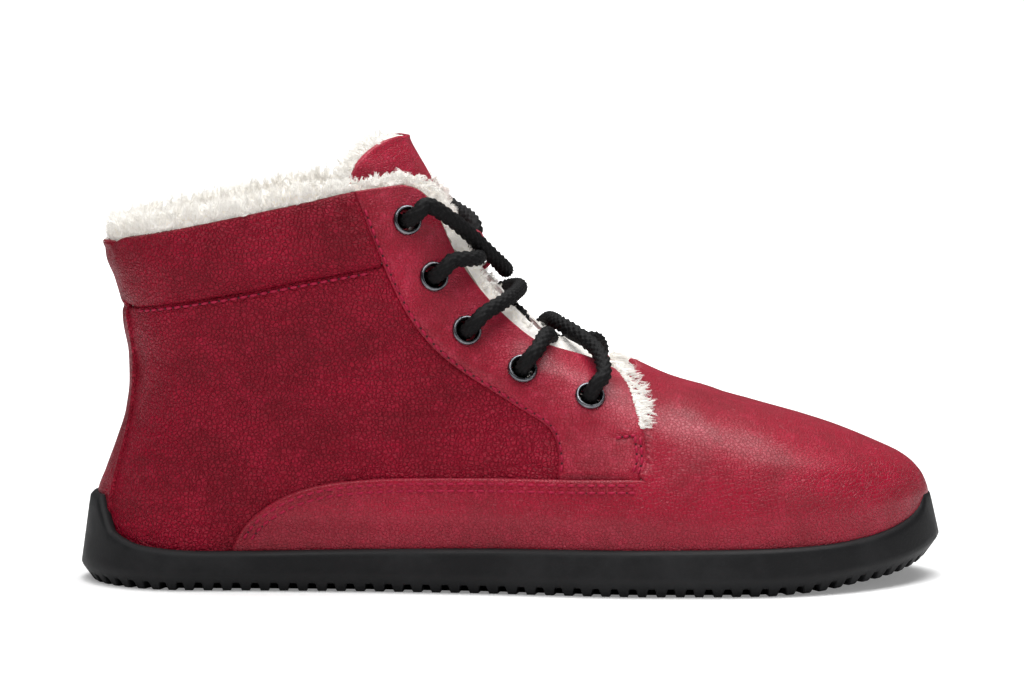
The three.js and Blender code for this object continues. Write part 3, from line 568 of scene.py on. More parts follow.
# painted glow: Emission Strength makes the pile and the loose fibres emit their own colour, standing in for
# light scattered between fibres
fleecePile = surface(
    "fleecePile", spunFibre,
    {"Base": (0.95, 0.925, 0.88, 1), "Shade": (0.72, 0.64, 0.54, 1), "Scale": 420.0, "Spread": 0.5},
    {
        "Roughness": 0.95, "Sheen Weight": 0.4, "Sheen Roughness": 0.5, "Specular IOR Level": 0.15,
        "Emission Strength": 0.16,
    },
    (0.7, 0.0012),
)
fleeceFibre = surface(
    "fleeceFibre", spunFibre,
    {"Base": (0.96, 0.945, 0.91, 1), "Shade": (0.84, 0.79, 0.71, 1), "Scale": 300.0, "Spread": 0.4},
    {"Roughness": 0.9, "Sheen Weight": 0.3, "Specular IOR Level": 0.2, "Emission Strength": 0.16},
    (0.2, 0.0002),
)
laceBraid = surface(
    "laceBraid", spunFibre,
    {
        "Base": (0.0095, 0.0092, 0.0098, 1), "Shade": (0.0015, 0.0015, 0.0015, 1), "Scale": 1900.0,
        "Spread": 0.9,
    },
    {"Roughness": 0.62, "Specular IOR Level": 0.14},
    (0.5, 0.0003),
)
threadFibre = surface(
    "threadFibre", spunFibre,
    {"Base": (0.44, 0.006, 0.048, 1), "Shade": (0.20, 0.003, 0.022, 1), "Scale": 2600.0, "Spread": 0.8},
    {"Roughness": 0.6, "Specular IOR Level": 0.3},
    (0.4, 0.0002),
)
boardFibre = surface(
    "boardFibre", spunFibre,
    {"Base": (0.48, 0.44, 0.37, 1), "Shade": (0.3, 0.26, 0.2, 1), "Scale": 700.0, "Spread": 0.6},
    {"Roughness": 0.9},
    (0.3, 0.0003),
)
foamCells = surface(
    "foamCells", spunFibre,
    {"Base": (0.27, 0.27, 0.25, 1), "Shade": (0.12, 0.12, 0.11, 1), "Scale": 1500.0, "Spread": 0.7},
    {"Roughness": 0.95},
    (0.4, 0.0004),
)
soleRubber = surface(
    "soleRubber", scuffsAndDust,
    {
        "Clean": (0.0085, 0.0086, 0.0094, 1), "Dusty": (0.019, 0.0193, 0.0205, 1), "Scale": 45.0,
        "Rough Low": 0.48, "Rough High": 0.7,
    },
    {"Specular IOR Level": 0.2},
    (0.25, 0.0004),
)
gunmetal = surface(
    "gunmetal", scuffsAndDust,
    {
        "Clean": (0.115, 0.12, 0.135, 1), "Dusty": (0.27, 0.275, 0.29, 1), "Scale": 300.0,
        "Rough Low": 0.22, "Rough High": 0.4,
    },
    {},
    (0.12, 0.0002),
    metal=1.0,
)
tipPlastic = surface(
    "tipPlastic", scuffsAndDust,
    {
        "Clean": (0.015, 0.015, 0.016, 1), "Dusty": (0.05, 0.05, 0.052, 1), "Scale": 200.0,
        "Rough Low": 0.2, "Rough High": 0.4,
    },
    {"Coat Weight": 0.3},
    (0.1, 0.0002),
)
# painted shade: the needle holes are dark discs, their Clean and Dusty colours standing for the shade
# inside the holes
paintedHoleShade = surface(
    "paintedHoleShade", scuffsAndDust,
    {
        "Clean": (0.035, 0.001, 0.005, 1), "Dusty": (0.075, 0.002, 0.010, 1), "Scale": 600.0,
        "Rough Low": 0.8, "Rough High": 0.95,
    },
    {},
    (0.1, 0.0001),
)
print("materials ready")


# outlines of the panels, as along the boot and up
edges = {
    "wing": [[40, 36], [21, 35.6], [-11, 35.7], [-42, 35], [-62, 32.2], [-76, 25.6], [-84, 16.5], [-88, 4]],
    "tab": [[39.6, 36.4], [41.2, 41], [40.4, 50], [38.6, 58], [37, 62.6], [34, 66.2]],
    "facing": [
        [34, 66.2], [24.8, 70.4], [12.5, 74.6], [5.4, 78], [-6.6, 89],
        [-15.8, 101.4], [-22.3, 115.4], [-24.2, 119], [-28, 122.7], [-33, 124.4],
    ],
    "eyestay": [
        [-47.5, 122.6], [-39.6, 102], [-30.9, 84], [-19, 70.5], [0.8, 57.5], [11.5, 50.6],
        [14.4, 43], [14.2, 36],
    ],
    "collarTop": [
        [-33, 124.4], [-47.5, 122.6], [-64.7, 118.7], [-94.5, 112.4], [-113, 108.6], [-140, 103.6],
    ],
    "collarSeam": [[-39.2, 99.5], [-62.6, 95.2], [-86.5, 90.6], [-140, 81.5]],
    "strip": [
        [-122.3, 120], [-121.6, 102], [-118, 85], [-115.8, 66], [-118, 48], [-122, 31],
        [-123.8, 18], [-124, -5],
    ],
    "tongue": [
        [-52, 130], [-48, 116], [-39, 98], [-27, 82.5], [-8, 70.5], [16, 62.5], [36, 55.5],
        [46, 53],
    ],
}
line = {name: smoothLine(points) for name, points in edges.items()}
sides = {"lateral": -1, "medial": 1}
eyeletSpots = [(-31.6, 113.6), (-23.5, 96.3), (-13.5, 79.9), (3.5, 68.2), (24.1, 59.9)]
build = {  # how thick the layers are, from the outside in
    "gap": 0.3,
    "liningUnder": -7.0,
    "pressedUnder": -4.6,
    "liningEdge": -3.6,
    "laceInside": -7.9,
    "tongueTop": -10.7,
    "wallBelowFloor": 8.5,
}


def offsetLine(points, d):
    p = np.asarray(points, float)
    along = unit(np.gradient(p, axis=0))
    return p + np.stack([-along[:, 1], along[:, 0]], 1) * d


def wingProud(x, z):
    return 1.7 * smoothStep(16, 24, z) * (1 - smoothStep(26, 50, x))


def place(x, z, side):
    x, z = np.asarray(x, float), np.asarray(z, float)
    return skin(angleAt(x, z, side), z), skinNormal(angleAt(x, z, side), z)


def beneath(points, side, offset):
    # angle and height of the outside skin over places that lie at an offset under it
    p = np.asarray(points, float)
    x, z = p[:, 0].copy(), p[:, 1].copy()
    for _ in range(6):
        normal = skinNormal(angleAt(x, z, side), z)
        x, z = p[:, 0] - normal[:, 0] * offset, p[:, 1] - normal[:, 2] * offset
    return np.stack([angleAt(x, z, side), z], 1)


def finishPiece(thing, body, slotName, *nodes):
    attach(thing, body)
    if nodes:
        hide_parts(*nodes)
    return thing


# stitches
stitching = {
    "pitch": 3.1, "length": 2.35, "radius": 0.42, "proud": 0.1, "groove": 0.3, "grooveWidth": 0.95,
    "calm": 2.2, "hole": 0.33,
}
threads, paintedHoleShades = [], []


def stitchRow(points, normals, pitch=None):
    # thread along a line in space, with a dark disc of painted shade at each end of every stitch, where the
    # needle hole is
    pitch = pitch or stitching["pitch"]
    both = evenly(np.hstack([points, normals]), pitch / 2)[1:-1]
    spots, normals = both[:, :3], unit(both[:, 3:])
    along = unit(np.gradient(spots, axis=0))
    normals = unit(normals - along * (along * normals).sum(1, keepdims=True))
    across = np.cross(normals, along)
    middle = np.arange(0, len(spots), 2)
    ring = np.linspace(0, 2 * math.pi, 7)[:-1]
    at = np.array([-1.0, -0.86, -0.45, 0, 0.45, 0.86, 1.0])
    swell = np.array([0.12, 0.62, 0.98, 1.08, 0.98, 0.62, 0.12])
    dip = np.array([-0.34, -0.16, 0.0, 0.05, 0.0, -0.16, -0.34])
    half = stitching["length"] / 2
    r = stitching["radius"]
    for k in middle:
        c, t, b, n = spots[k], along[k], across[k], normals[k]
        run = at * half * pitch / stitching["pitch"]
        rows = c + t * run[:, None] + n * (dip + stitching["proud"])[:, None]
        rim = b * np.cos(ring)[:, None] + n * np.sin(ring)[:, None] * 0.8
        threads.append(rows[:, None] + rim[None] * (swell * r)[:, None, None])
    for k in range(1, len(spots), 2):
        paintedHoleShades.append((spots[k] + normals[k] * 0.03, along[k], across[k], normals[k]))


def sideRow(points, side, height, pitch=None):
    p = evenly(points, 0.5)
    spot, normal = place(p[:, 0], p[:, 1], side)
    spot = spot + normal * height(p[:, 0], p[:, 1])[:, None]
    stitchRow(spot, normal, pitch)
    return spot


def pressed(sheet, base, loose, rows):
    # a panel is calm beside its stitching and free to rumple away from it
    away = np.min([nearest(sheet["point"], row) for row in rows], axis=0)
    groove = stitching["groove"] * np.exp(-((away / stitching["grooveWidth"]) ** 2))
    return base + loose * (1 - np.exp(-((away / stitching["calm"]) ** 2))) - groove


def lumps(points, size, seed, strength):
    return strength * (latticeNoise(points, size, seed) + 0.5 * latticeNoise(points, size / 2.1, seed + 1))


# vamp
vamp = {"spacing": 1.25, "stretch": 90.0, "lump": 0.16, "rows": (2.2, 4.3), "tucked": 1.1}
tabSeam = line["tab"] - [1.4, 0]
wingUp = line["wing"][::-1]
wingUp = wingUp[wingUp[:, 1] > 9.5]


def vampOutline():
    lateralSide = np.vstack([wingUp - [0, 0.4], tabSeam[2:-6]])
    left = sideLoop(lateralSide, -1)
    right = sideLoop(lateralSide, 1)[::-1]
    top = np.array([[0.0, 67.8]])
    bottomAngles = np.linspace(right[-1, 0], left[0, 0], 160)[1:-1]
    x = (backLine(14) + frontLine(14)) / 2 + (frontLine(14) - backLine(14)) / 2 * np.cos(bottomAngles)
    bottom = np.stack([bottomAngles, toeSpring(x) + build["wallBelowFloor"]], 1)
    return np.vstack([left, top, right, bottom])


vampSheet = sheetMesh(vampOutline(), vamp["spacing"], vamp["stretch"])
tabAt = curveThrough([[z, x] for x, z in edges["tab"]])
vampBase = wingProud(vampSheet["point"][:, 0], vampSheet["z"])
underTab = smoothStep(-0.4, 0.6, tabAt(vampSheet["z"]) - vampSheet["point"][:, 0])
vampBase = vampBase - vamp["tucked"] * underTab * (vampSheet["z"] > 37.5) * (vampSheet["z"] < 65)
wingRows = []
for side in sides.values():
    for depth in vamp["rows"]:
        row = offsetLine(line["wing"], depth)
        row = row[(row[:, 0] < 38.5) & (row[:, 1] > 15)]
        wingRows.append(sideRow(row, side, wingProud))
flex = vampSheet["point"][:, 0]
crease = np.sin(flex / 2.9 + 1.6 * latticeNoise(vampSheet["point"], 19, 8))
crease = crease * np.exp(-(((flex - 58) / 17) ** 2))
rumple = lumps(vampSheet["point"], 16, 3, vamp["lump"]) + 0.16 * crease * smoothStep(30, 46, vampSheet["z"])
vampHeight = pressed(vampSheet, vampBase, rumple, wingRows)
vampPiece = leatherPiece("vampLeather", vampSheet, vampHeight, vampHidePaintedLight)
finishPiece(vampPiece, "boot", "crimson_leather", "vamp")
print("vamp ready")

# quarters, eyestays and collars
panel = {
    "spacing": 1.15,
    "stretch": 62.0,
    "overlay": 0.25,
    "tucked": 0.9,
    "tuckReach": 2.4,
    "eyestayRow": 0.95,
    "collarRow": 1.05,
    "puff": 2.1,
    "quarterLump": 0.3,
    "eyestaySpacing": 0.95,
    "underStrip": 1.2,  # how far the quarter goes on under its neighbours
    "underCollar": 1.2,
    "underWing": 3.4,
    "collarUnderStrip": 1.0,
    "collarUnderEyestay": 0.5,
    "eyeletHole": 3.9,
}
collarCross = -117.4  # where the collar's seam meets the back strip
eyestayAt = curveThrough([[z, x] for x, z in edges["eyestay"][::-1]])
wingAt = curveThrough([[z, x] for x, z in edges["wing"][:2:-1]])


def seamAt(x):
    return np.interp(x, line["collarSeam"][::-1, 0], line["collarSeam"][::-1, 1])


def nearLine(sheet, name, side):
    p = line[name]
    inside = p[p[:, 1] > 8]
    spot, _ = place(inside[:, 0], inside[:, 1], side)
    return nearest(sheet["point"], evenly(spot, 0.8))


def withoutHoles(sheet, side, reach):
    keep = np.ones(len(sheet["faces"]), bool)
    middle = sheet["point"][sheet["faces"]].mean(1)
    for x, z in eyeletSpots:
        spot, normal = place(x, z, side)
        gap = middle - spot
        gap = gap - normal * (gap @ normal)[:, None]
        keep &= np.linalg.norm(gap, axis=1) > reach
    sheet["faces"] = sheet["faces"][keep]


for sideName, side in sides.items():
    eyestayUp = line["eyestay"][::-1]
    quarterEye = between(eyestayUp, 1, 27, 99.2) + [panel["tuckReach"], 0]
    seam = line["collarSeam"]
    quarterTop = between(seam, 0, collarCross, -37.5) + [0, panel["underCollar"]]
    stripDown = line["strip"]
    quarterBack = between(stripDown, 1, 9, 85.4) - [panel["underStrip"], 0]
    underWing = wingUp[wingUp[:, 1] < 25] + [panel["underWing"], 0]
    quarterLine = np.vstack([quarterEye, quarterTop, quarterBack, underWing, [[14.5, 25]]])
    sheet = sheetMesh(sideLoop(quarterLine, side), panel["spacing"], panel["stretch"])
    p = sheet["point"]
    height = lumps(p, 13, 21 + side, panel["quarterLump"])
    folds = np.sin((p[:, 2] + 0.34 * p[:, 0]) / 2.7 + 2.2 * latticeNoise(p, 17, 31 + side))
    ankle = np.exp(-(((p[:, 2] - 71) / 15) ** 2))
    height = height + 0.24 * folds * ankle * smoothStep(-122, -70, -np.abs(p[:, 0] + 66))
    seamRow = offsetLine(between(seam, 0, collarCross, -43), panel["collarRow"])
    loose = height * smoothStep(0, 5, sheet["inset"])
    under = smoothStep(-0.7, 0.3, p[:, 0] - eyestayAt(p[:, 2])) * (p[:, 2] > 30)
    under = np.maximum(under, smoothStep(-0.5, 0.4, p[:, 2] - seamAt(p[:, 0])))
    wing = smoothStep(-0.6, 0.5, p[:, 0] - wingAt(p[:, 2])) * (1 - smoothStep(17, 23, p[:, 2]))
    under = np.maximum(under, wing)
    rows = [sideRow(seamRow, side, lambda x, z: 0 * x)]
    height = pressed(sheet, -panel["tucked"] * under, loose, rows)
    quarterPiece = leatherPiece(f"quarterLeather.{sideName}", sheet, height, shaftHidePaintedShade)
    finishPiece(quarterPiece, "boot", "crimson_leather_dark", f"quarter_{sideName}")

    # the eyestay, lifted where it lies over the quarter and over the vamp
    tabUp, facingUp, eyestayDown = line["tab"], line["facing"], line["eyestay"]
    topEdge = between(line["collarTop"], 0, -46.5, -34)
    eyestayLine = np.vstack([eyestayDown, [[14.2, 34.8], [38.8, 35.0]], tabUp[:-4], facingUp, topEdge])
    sheet = sheetMesh(sideLoop(eyestayLine, side), panel["eyestaySpacing"], panel["stretch"])
    overQuarter = 1 - smoothStep(3.5, 9, nearLine(sheet, "eyestay", side))
    overVamp = (1 - smoothStep(3, 8, nearLine(sheet, "tab", side))) * (1 - smoothStep(50, 60, sheet["z"]))
    base = panel["overlay"] * np.maximum(overQuarter, overVamp)
    base = base - 0.6 * (1 - smoothStep(35.6, 37.2, sheet["z"]))
    loose = lumps(sheet["point"], 11, 41 + side, 0.12)
    rise = lambda x, z: panel["overlay"] + 0 * x
    row = between(offsetLine(eyestayDown, panel["eyestayRow"]), 1, 37, 119)
    rows = [sideRow(row, side, rise)]
    for inset in (1.5, 3.0):
        rows.append(sideRow(between(offsetLine(tabUp, inset), 1, 36.8, 49), side, rise))
    rows.append(sideRow(np.array([[31.6, 47.8], [38.3, 48.6]]), side, lambda x, z: 0.15 + 0 * x, 2.4))
    height = pressed(sheet, base, loose, rows)
    withoutHoles(sheet, side, panel["eyeletHole"])
    eyestayPiece = leatherPiece(f"eyestayLeather.{sideName}", sheet, height, facingHidePaintedLight, radius=0.35)
    finishPiece(eyestayPiece, "boot", "crimson_leather", f"eyestay_{sideName}")

    # the padded collar
    collarTopLine = between(line["collarTop"], 0, -121.0, -46.8)
    collarBack = between(stripDown, 1, 85.8, 106.6) - [panel["collarUnderStrip"], 0]
    collarLow = seam[::-1]
    collarLow = collarLow[collarLow[:, 0] > collarCross]
    collarEye = eyestayUp[eyestayUp[:, 1] > 100.5] + [panel["collarUnderEyestay"], 0]
    collarLine = np.vstack([collarTopLine, collarBack, collarLow, collarEye])
    sheet = sheetMesh(sideLoop(collarLine, side), panel["spacing"], panel["stretch"])
    p = sheet["point"]
    puff = panel["puff"] * (1 - np.exp(-sheet["inset"] / 3.2))
    pinch = np.sin((p[:, 0] + 0.3 * p[:, 2]) / 1.9 + 2.0 * latticeNoise(p, 9, 57))
    pinch = pinch * np.exp(-sheet["inset"] / 4.0)
    height = puff + 0.14 * pinch * smoothStep(0.3, 2, sheet["inset"])
    height = height + lumps(p, 10, 61 + side, 0.2) * smoothStep(0, 5, sheet["inset"])
    collarPiece = leatherPiece(f"collarLeather.{sideName}", sheet, height, shaftHidePaintedShade, radius=1.0)
    finishPiece(collarPiece, "boot", "crimson_leather_dark", f"collar_{sideName}")
print("panels ready")

# back strip
strip = {
    "spacing": 0.9,
    "stretch": 45.0,
    "welt": 0.55,
    "top": 106.0,
    "low": 9.2,
    "seamHeight": 85.3,  # where the collars' seam runs in under it
    "seamDip": 0.7,
}
stripSide = between(line["strip"], 1, 9, 106.6)
lateralAngle = sideLoop(stripSide, -1) + [2 * math.pi, 0]
medialAngle = sideLoop(stripSide, 1)


def levelArc(start, end, height):
    angles = np.linspace(start, end, 30)[1:-1]
    return np.stack([angles, np.full(len(angles), height)], 1)


topArc = levelArc(medialAngle[0, 0], lateralAngle[0, 0], strip["top"])
bottomArc = levelArc(lateralAngle[-1, 0], medialAngle[-1, 0], strip["low"])
stripSheet = sheetMesh(
    np.vstack([medialAngle[::-1], topArc, lateralAngle, bottomArc]), strip["spacing"],
    strip["stretch"],
)
stripHeight = 0.35 + strip["welt"] * np.exp(-(((stripSheet["inset"] - 1.1) / 0.9) ** 2))
stripHeight = stripHeight * smoothStep(14, 26, stripSheet["z"]) + lumps(stripSheet["point"], 9, 71, 0.12)
overSeam = np.exp(-(((stripSheet["z"] - strip["seamHeight"]) / 1.1) ** 2))
stripHeight = stripHeight - strip["seamDip"] * overSeam
stripPiece = leatherPiece("backStripLeather", stripSheet, stripHeight, shaftHidePaintedShade)
finishPiece(stripPiece, "boot", "crimson_leather_dark", "back_strip")
print("back strip ready")

# sole
sole = {
    "reach": 134,  # from the middle of the boot to each end
    "steps": 2600,
    "heelRound": 34.0,
    "toeRound": 58.0,
    "notchPitch": 5.8,
    "notchDepth": 2.7,
    "ribPitch": 14.0,
    "ribDepth": 1.6,
    "ribHalf": 1.5,
}


def soleEdge():
    angle = np.linspace(0, 2 * math.pi, 6000, endpoint=False)
    x = sole["reach"] * np.cos(angle)
    half = soleHalf(x) * roundedShare(x + sole["reach"], sole["heelRound"])
    half = half * roundedShare(sole["reach"] - x, sole["toeRound"])
    edge = evenly(np.stack([x, soleMiddle(x) + np.sign(np.sin(angle)) * half], 1), 0.05, closed=True)
    pick = np.linspace(0, len(edge), sole["steps"], endpoint=False).astype(int)
    edge = edge[pick]
    along = unit(np.roll(edge, -3, 0) - np.roll(edge, 3, 0))
    return edge, np.stack([along[:, 1], -along[:, 0]], 1)


def makeSole():
    edge, outward = soleEdge()
    count = len(edge)
    x = edge[:, 0]
    spring, rim = toeSpring(x), rimHeight(x)
    rimInset = 2.0 + 0.15 * (rim - 14)
    run = np.concatenate([[0], np.cumsum(np.linalg.norm(np.diff(edge, axis=0), axis=1))])
    lugs = round(run[-1] / sole["notchPitch"])
    share = run / run[-1] * lugs % 1
    cutAway = 1 - smoothStep(0.15, 0.30, np.abs(share - 0.5))
    notch = sole["notchDepth"] * cutAway
    rows = [(12 + 0 * x, spring), (9.2 + 0 * x, spring), (8.6 + 0 * x, spring + notch)]
    for inset, lift in (
        (6.5, 0), (4.6, 0), (3.9, 0.1), (3.45, 0.5), (2.8, 1.4), (2.0, 2.5), (1.2, 3.6), (0.5, 4.6),
        (0.1, 5.6),
    ):
        rows.append((inset + 0 * x, np.maximum(spring + lift, spring + notch)))
    for t in (0.15, 0.35, 0.6, 0.85):
        top = rim - 1.5
        rows.append((0.1 + t * (rimInset - 1.2), spring + 5.6 + t * (top - spring - 5.6)))
    rows += [
        (rimInset - 1.0, rim - 1.35),
        (rimInset - 0.75, rim - 1.0),
        (rimInset - 0.1, rim - 0.3),
        (rimInset + 0.5, rim - 0.05),
        (rimInset + 1.4, rim),
        (rimInset + 2.2, rim - 0.5),
        (rimInset + 2.6, rim - 3.0),
    ]
    points = [np.column_stack([edge - outward * inset[:, None], height]) for inset, height in rows]
    wander = 0.12 * latticeNoise(np.vstack(points), 14, 91)
    points = np.vstack(points)
    points[:, :2] += np.tile(outward, (len(rows), 1)) * wander[:, None]
    faces = [ringFaces(len(rows), count)]
    ids = np.arange(count)
    ribs = np.minimum((x + 106) % sole["ribPitch"], sole["ribPitch"] - (x + 106) % sole["ribPitch"])
    inRange = (x > -109) & (x < 74)
    groove = sole["ribDepth"] * (1 - smoothStep(sole["ribHalf"] * 0.7, sole["ribHalf"] * 1.2, ribs))
    groove = groove * inRange
    inner = points[:count]
    middle = soleMiddle(x)
    shares = (0.985, 0.94, 0.6, 0.25, 0.0)
    start = len(points)
    floor = []
    for f in shares:
        lift = groove if f < 0.97 else 0 * groove
        floor.append(np.column_stack([inner[:, 0], middle + (inner[:, 1] - middle) * f, spring + lift]))
    points = np.vstack([points, *floor])
    rings = [0] + [start + k * count for k in range(len(shares))]
    for low, high in zip(rings, rings[1:]):
        a, b = low + ids, low + np.roll(ids, -1)
        faces.append(np.stack([b, a, a - low + high, b - low + high], 1))
    return makeMesh("soleRubberCup", points, np.vstack(faces), soleRubber)


solePiece = makeSole()
finishPiece(solePiece, "boot", "rubber_sole", "outsole")
print("sole ready")

# eyelets
eyeletShape = [
    (3.35, -8.0), (3.2, -4.0), (3.2, 0.1), (3.3, 0.7), (3.6, 1.12), (4.0, 1.22), (4.35, 1.02),
    (4.58, 0.6), (4.65, 0.2), (4.6, 0.0), (4.3, -0.3),
]
turns = np.linspace(0, 2 * math.pi, 49)[:-1]


def turned(profile, spot, axis, steps=turns):
    first = unit(np.cross(axis, [0.3, 0.2, 1.0]))
    second = np.cross(axis, first)
    p = np.array(profile)
    around = first * np.cos(steps)[:, None] + second * np.sin(steps)[:, None]
    points = spot + axis * p[:, 1][:, None, None] + around[None] * p[:, 0][:, None, None]
    return points.reshape(-1, 3), ringFaces(len(p), len(steps))


for sideName, side in sides.items():
    for number, (x, z) in enumerate(eyeletSpots, 1):
        spot, axis = place(x, z, side)
        points, faces = turned(eyeletShape, spot, axis)
        thing = makeMesh(f"eyelet.{sideName}.{number}", points, faces, gunmetal)
        finishPiece(thing, "boot", "eyelet_metal", f"eyelet_{sideName}_{number}")
print("eyelets ready")

# lace
lace = {
    "diameter": 4.4,
    "braidStep": 0.42,
    "braidSides": 32,
    "braidPitch": 3.1,
    "relief": 0.26,
    "agletRise": 0.12,
    "loopHeight": 105.5,
    "rimHeight": 1.0,
}
laceRadius = lace["diameter"] / 2
laceInside = build["laceInside"]
laceOutside = laceRadius + build["gap"]


def smoothPath(points, perSpan=24):
    p = np.array(points, float)
    p = np.vstack([2 * p[0] - p[1], p, 2 * p[-1] - p[-2]])
    out = []
    t = np.linspace(0, 1, perSpan, endpoint=False)[:, None]
    for a, b, c, d in zip(p, p[1:], p[2:], p[3:]):
        s0, s1, s2 = (max(np.linalg.norm(v) ** 0.5, 1e-4) for v in (b - a, c - b, d - c))
        v0 = ((b - a) / s0 - (c - a) / (s0 + s1) + (c - b) / s1) * s1
        v1 = ((c - b) / s1 - (d - b) / (s1 + s2) + (d - c) / s2) * s1
        out.append((2 * b - 2 * c + v0 + v1) * t**3 + (-3 * b + 3 * c - 2 * v0 - v1) * t**2 + v0 * t + b)
    return np.vstack(out + [p[-2:-1]])


def at(side):
    return lambda x, z, offset: onUpper(x, z, side, offset)


lateral, medial = at(-1), at(1)


def throughEyelet(number, side, towards):
    x, z = eyeletSpots[number - 1]
    spot, axis = place(x, z, side)
    throatward = onUpper(x + 3, z + 3, side) - spot
    throatward = unit(throatward - axis * (throatward @ axis))
    inward = towards - spot
    inward = unit(inward - axis * (inward @ axis))
    rim = lace["rimHeight"]
    under = build["pressedUnder"]
    steps = [
        (rim + laceRadius + 0.8, throatward, 6.2),
        (rim + laceRadius + 1.1, throatward, 3.2),
        (rim + 1.2, throatward, 0.1),
        (-1.5, throatward, 0),
        (under - 0.4, inward, 0.15),
        (laceInside + 0.3, inward, 2.2),
        (laceInside, inward, 5.4),
    ]
    return [spot + axis * depth + way * aside for depth, way, aside in steps]


def outOf(number, side, towards):
    return throughEyelet(number, side, towards)[::-1]


def eyeletPlace(number, side):
    return place(*eyeletSpots[number - 1], side)[0]


underLowest = ridge(73.8, laceInside + 0.2)
inLoop = build["tongueTop"] + 2 * build["gap"] + laceRadius
loopAt = lace["loopHeight"]
laceRoute = [
    medial(-40.5, 114.2, laceInside),
    *outOf(1, 1, medial(-44, 114, laceInside)),
    medial(-20.5, 113, laceOutside + 1),
    medial(-10.5, 110, -1.6),
    ridge(loopAt + 1, inLoop, 7),
    ridge(loopAt, inLoop),
    ridge(loopAt - 1, inLoop, -7),
    lateral(-13, 100.5, laceOutside + 0.8),
    *throughEyelet(2, -1, eyeletPlace(3, -1)),
    lateral(-18.5, 88, laceInside),
    *outOf(3, -1, eyeletPlace(2, -1)),
    lateral(-3.5, 87, laceOutside + 0.6),
    ridge(91.5, -1.5),
    medial(-3.5, 87, laceOutside + 0.6),
    *throughEyelet(3, 1, eyeletPlace(4, 1)),
    medial(-5, 73.5, laceInside),
    *outOf(4, 1, eyeletPlace(3, 1)),
    medial(9.2, 75.3, laceOutside + 1),
    ridge(79.5, 0),
    lateral(25.5, 68.8, laceOutside + 1.5),
    *throughEyelet(5, -1, underLowest),
    underLowest,
    *outOf(5, 1, underLowest),
    medial(25.5, 68.8, laceOutside + 1.5),
    ridge(77.5, -5.2),
    lateral(9.2, 75.3, laceOutside + 1),
    *throughEyelet(4, -1, ridge(86, laceInside)),
    ridge(86.5, laceInside + 1.2),
    medial(-8, 88.5, laceInside + 0.6),
    *outOf(2, 1, ridge(92, laceInside)),
    medial(-12, 100, laceOutside + 0.8),
    ridge(97.2, -2.4),
    lateral(-20.5, 113, laceOutside + 1),
    *throughEyelet(1, -1, lateral(-44, 114, laceInside)),
    lateral(-40.5, 114.2, laceInside),
]


def tubeFrames(path):
    along = unit(np.gradient(path, axis=0))
    first = np.empty_like(along)
    start = np.cross(along[0], [0.2, 0.1, 1.0])
    first[0] = unit(start)
    for k in range(1, len(path)):
        v = first[k - 1] - along[k] * (first[k - 1] @ along[k])
        first[k] = v / np.linalg.norm(v)
    return first, np.cross(along, first)


def braid(name, path, step, count, material):
    path = evenly(path, step)
    first, second = tubeFrames(path)
    run = np.arange(len(path)) * step
    turn = np.linspace(0, 2 * math.pi, count, endpoint=False)
    k = math.pi / lace["braidPitch"]
    a, b = 4 * turn[None] + k * run[:, None], 4 * turn[None] - k * run[:, None]
    weave = np.abs(np.cos(a)) ** 0.7 * np.abs(np.cos(b)) ** 0.7
    radius = laceRadius * (1 - lace["relief"] * 0.6 + lace["relief"] * 1.3 * weave)
    radius = radius * (1 + 0.03 * latticeNoise(path, 5, 17))[:, None]
    around = first[:, None] * np.cos(turn)[None, :, None] + second[:, None] * np.sin(turn)[None, :, None]
    points = path[:, None] + around * radius[..., None]
    ids = np.arange(count)
    faces = ringFaces(len(path), count)
    points = points.reshape(-1, 3)
    caps = np.vstack([path[:1], path[-1:]])
    base = len(points)
    startCap = np.stack([np.roll(ids, -1), ids, np.full(count, base)], 1)
    endRow = (len(path) - 1) * count
    endCap = np.stack([endRow + ids, endRow + np.roll(ids, -1), np.full(count, base + 1)], 1)
    thing = makeMesh(name, np.vstack([points, caps]), [faces, np.vstack([startCap, endCap])], material)
    return thing, path


lacePiece, _ = braid("laceRun", smoothPath(laceRoute), lace["braidStep"], lace["braidSides"], laceBraid)
finishPiece(lacePiece, "boot", "black_lace", "lace")

footTop = 14.4
laceOnInsole = footTop + build["gap"] + laceRadius


def tailRoute(side):
    go = at(side)
    wall = build["liningUnder"] - build["gap"] - laceRadius - 0.3
    low = laceOnInsole + 0.3
    stops = [
        (-41.4, 114.3, laceInside), (-46, 114, laceInside - 0.8), (-51, 110.5, wall - 0.6),
        (-54, 103, wall - 0.6), (-54, 94, wall - 0.6), (-52, 82, wall - 0.6), (-50, 70, wall - 0.6),
        (-48, 58, wall - 0.6), (-45, 46, wall - 0.6), (-40, 35, wall - 1), (-32, 26, wall - 1.5),
        (-20, 19.5, wall - 2.5), (-8, low, wall - 4), (6, low, wall - 5), (20, low, wall - 6.5),
        (34, low, wall - 8), (48, low, wall - 9), (62, low, wall - 9), (74, low + 0.2, wall - 9),
        (84, low + 0.6, wall - 8),
    ]
    return [go(*stop) for stop in stops]


agletShape = [
    (0.0, 0.0), (1.5, 0.0), (1.85, 0.25), (1.9, 0.6), (1.72, 1.0), (1.9, 1.4), (1.9, 5.0), (1.9, 12.0),
    (1.88, 20.5), (1.6, 21.6), (1.0, 22.0), (0.0, 22.0),
]
for sideName, side in sides.items():
    route = tailRoute(side)
    tail, path = braid(f"laceTail.{sideName}", smoothPath(route), 0.8, 16, laceBraid)
    finishPiece(tail, "boot", "black_lace", f"lace_tail_{sideName}")
    ahead = unit(np.array([1, 0, lace["agletRise"]]))
    points, faces = turned(agletShape, route[-1] + ahead * build["gap"], ahead, turns[::2])
    aglet = makeMesh(f"aglet.{sideName}", points, faces, tipPlastic)
    finishPiece(aglet, "boot", "lace_tip", f"aglet_{sideName}")
print("lace ready")

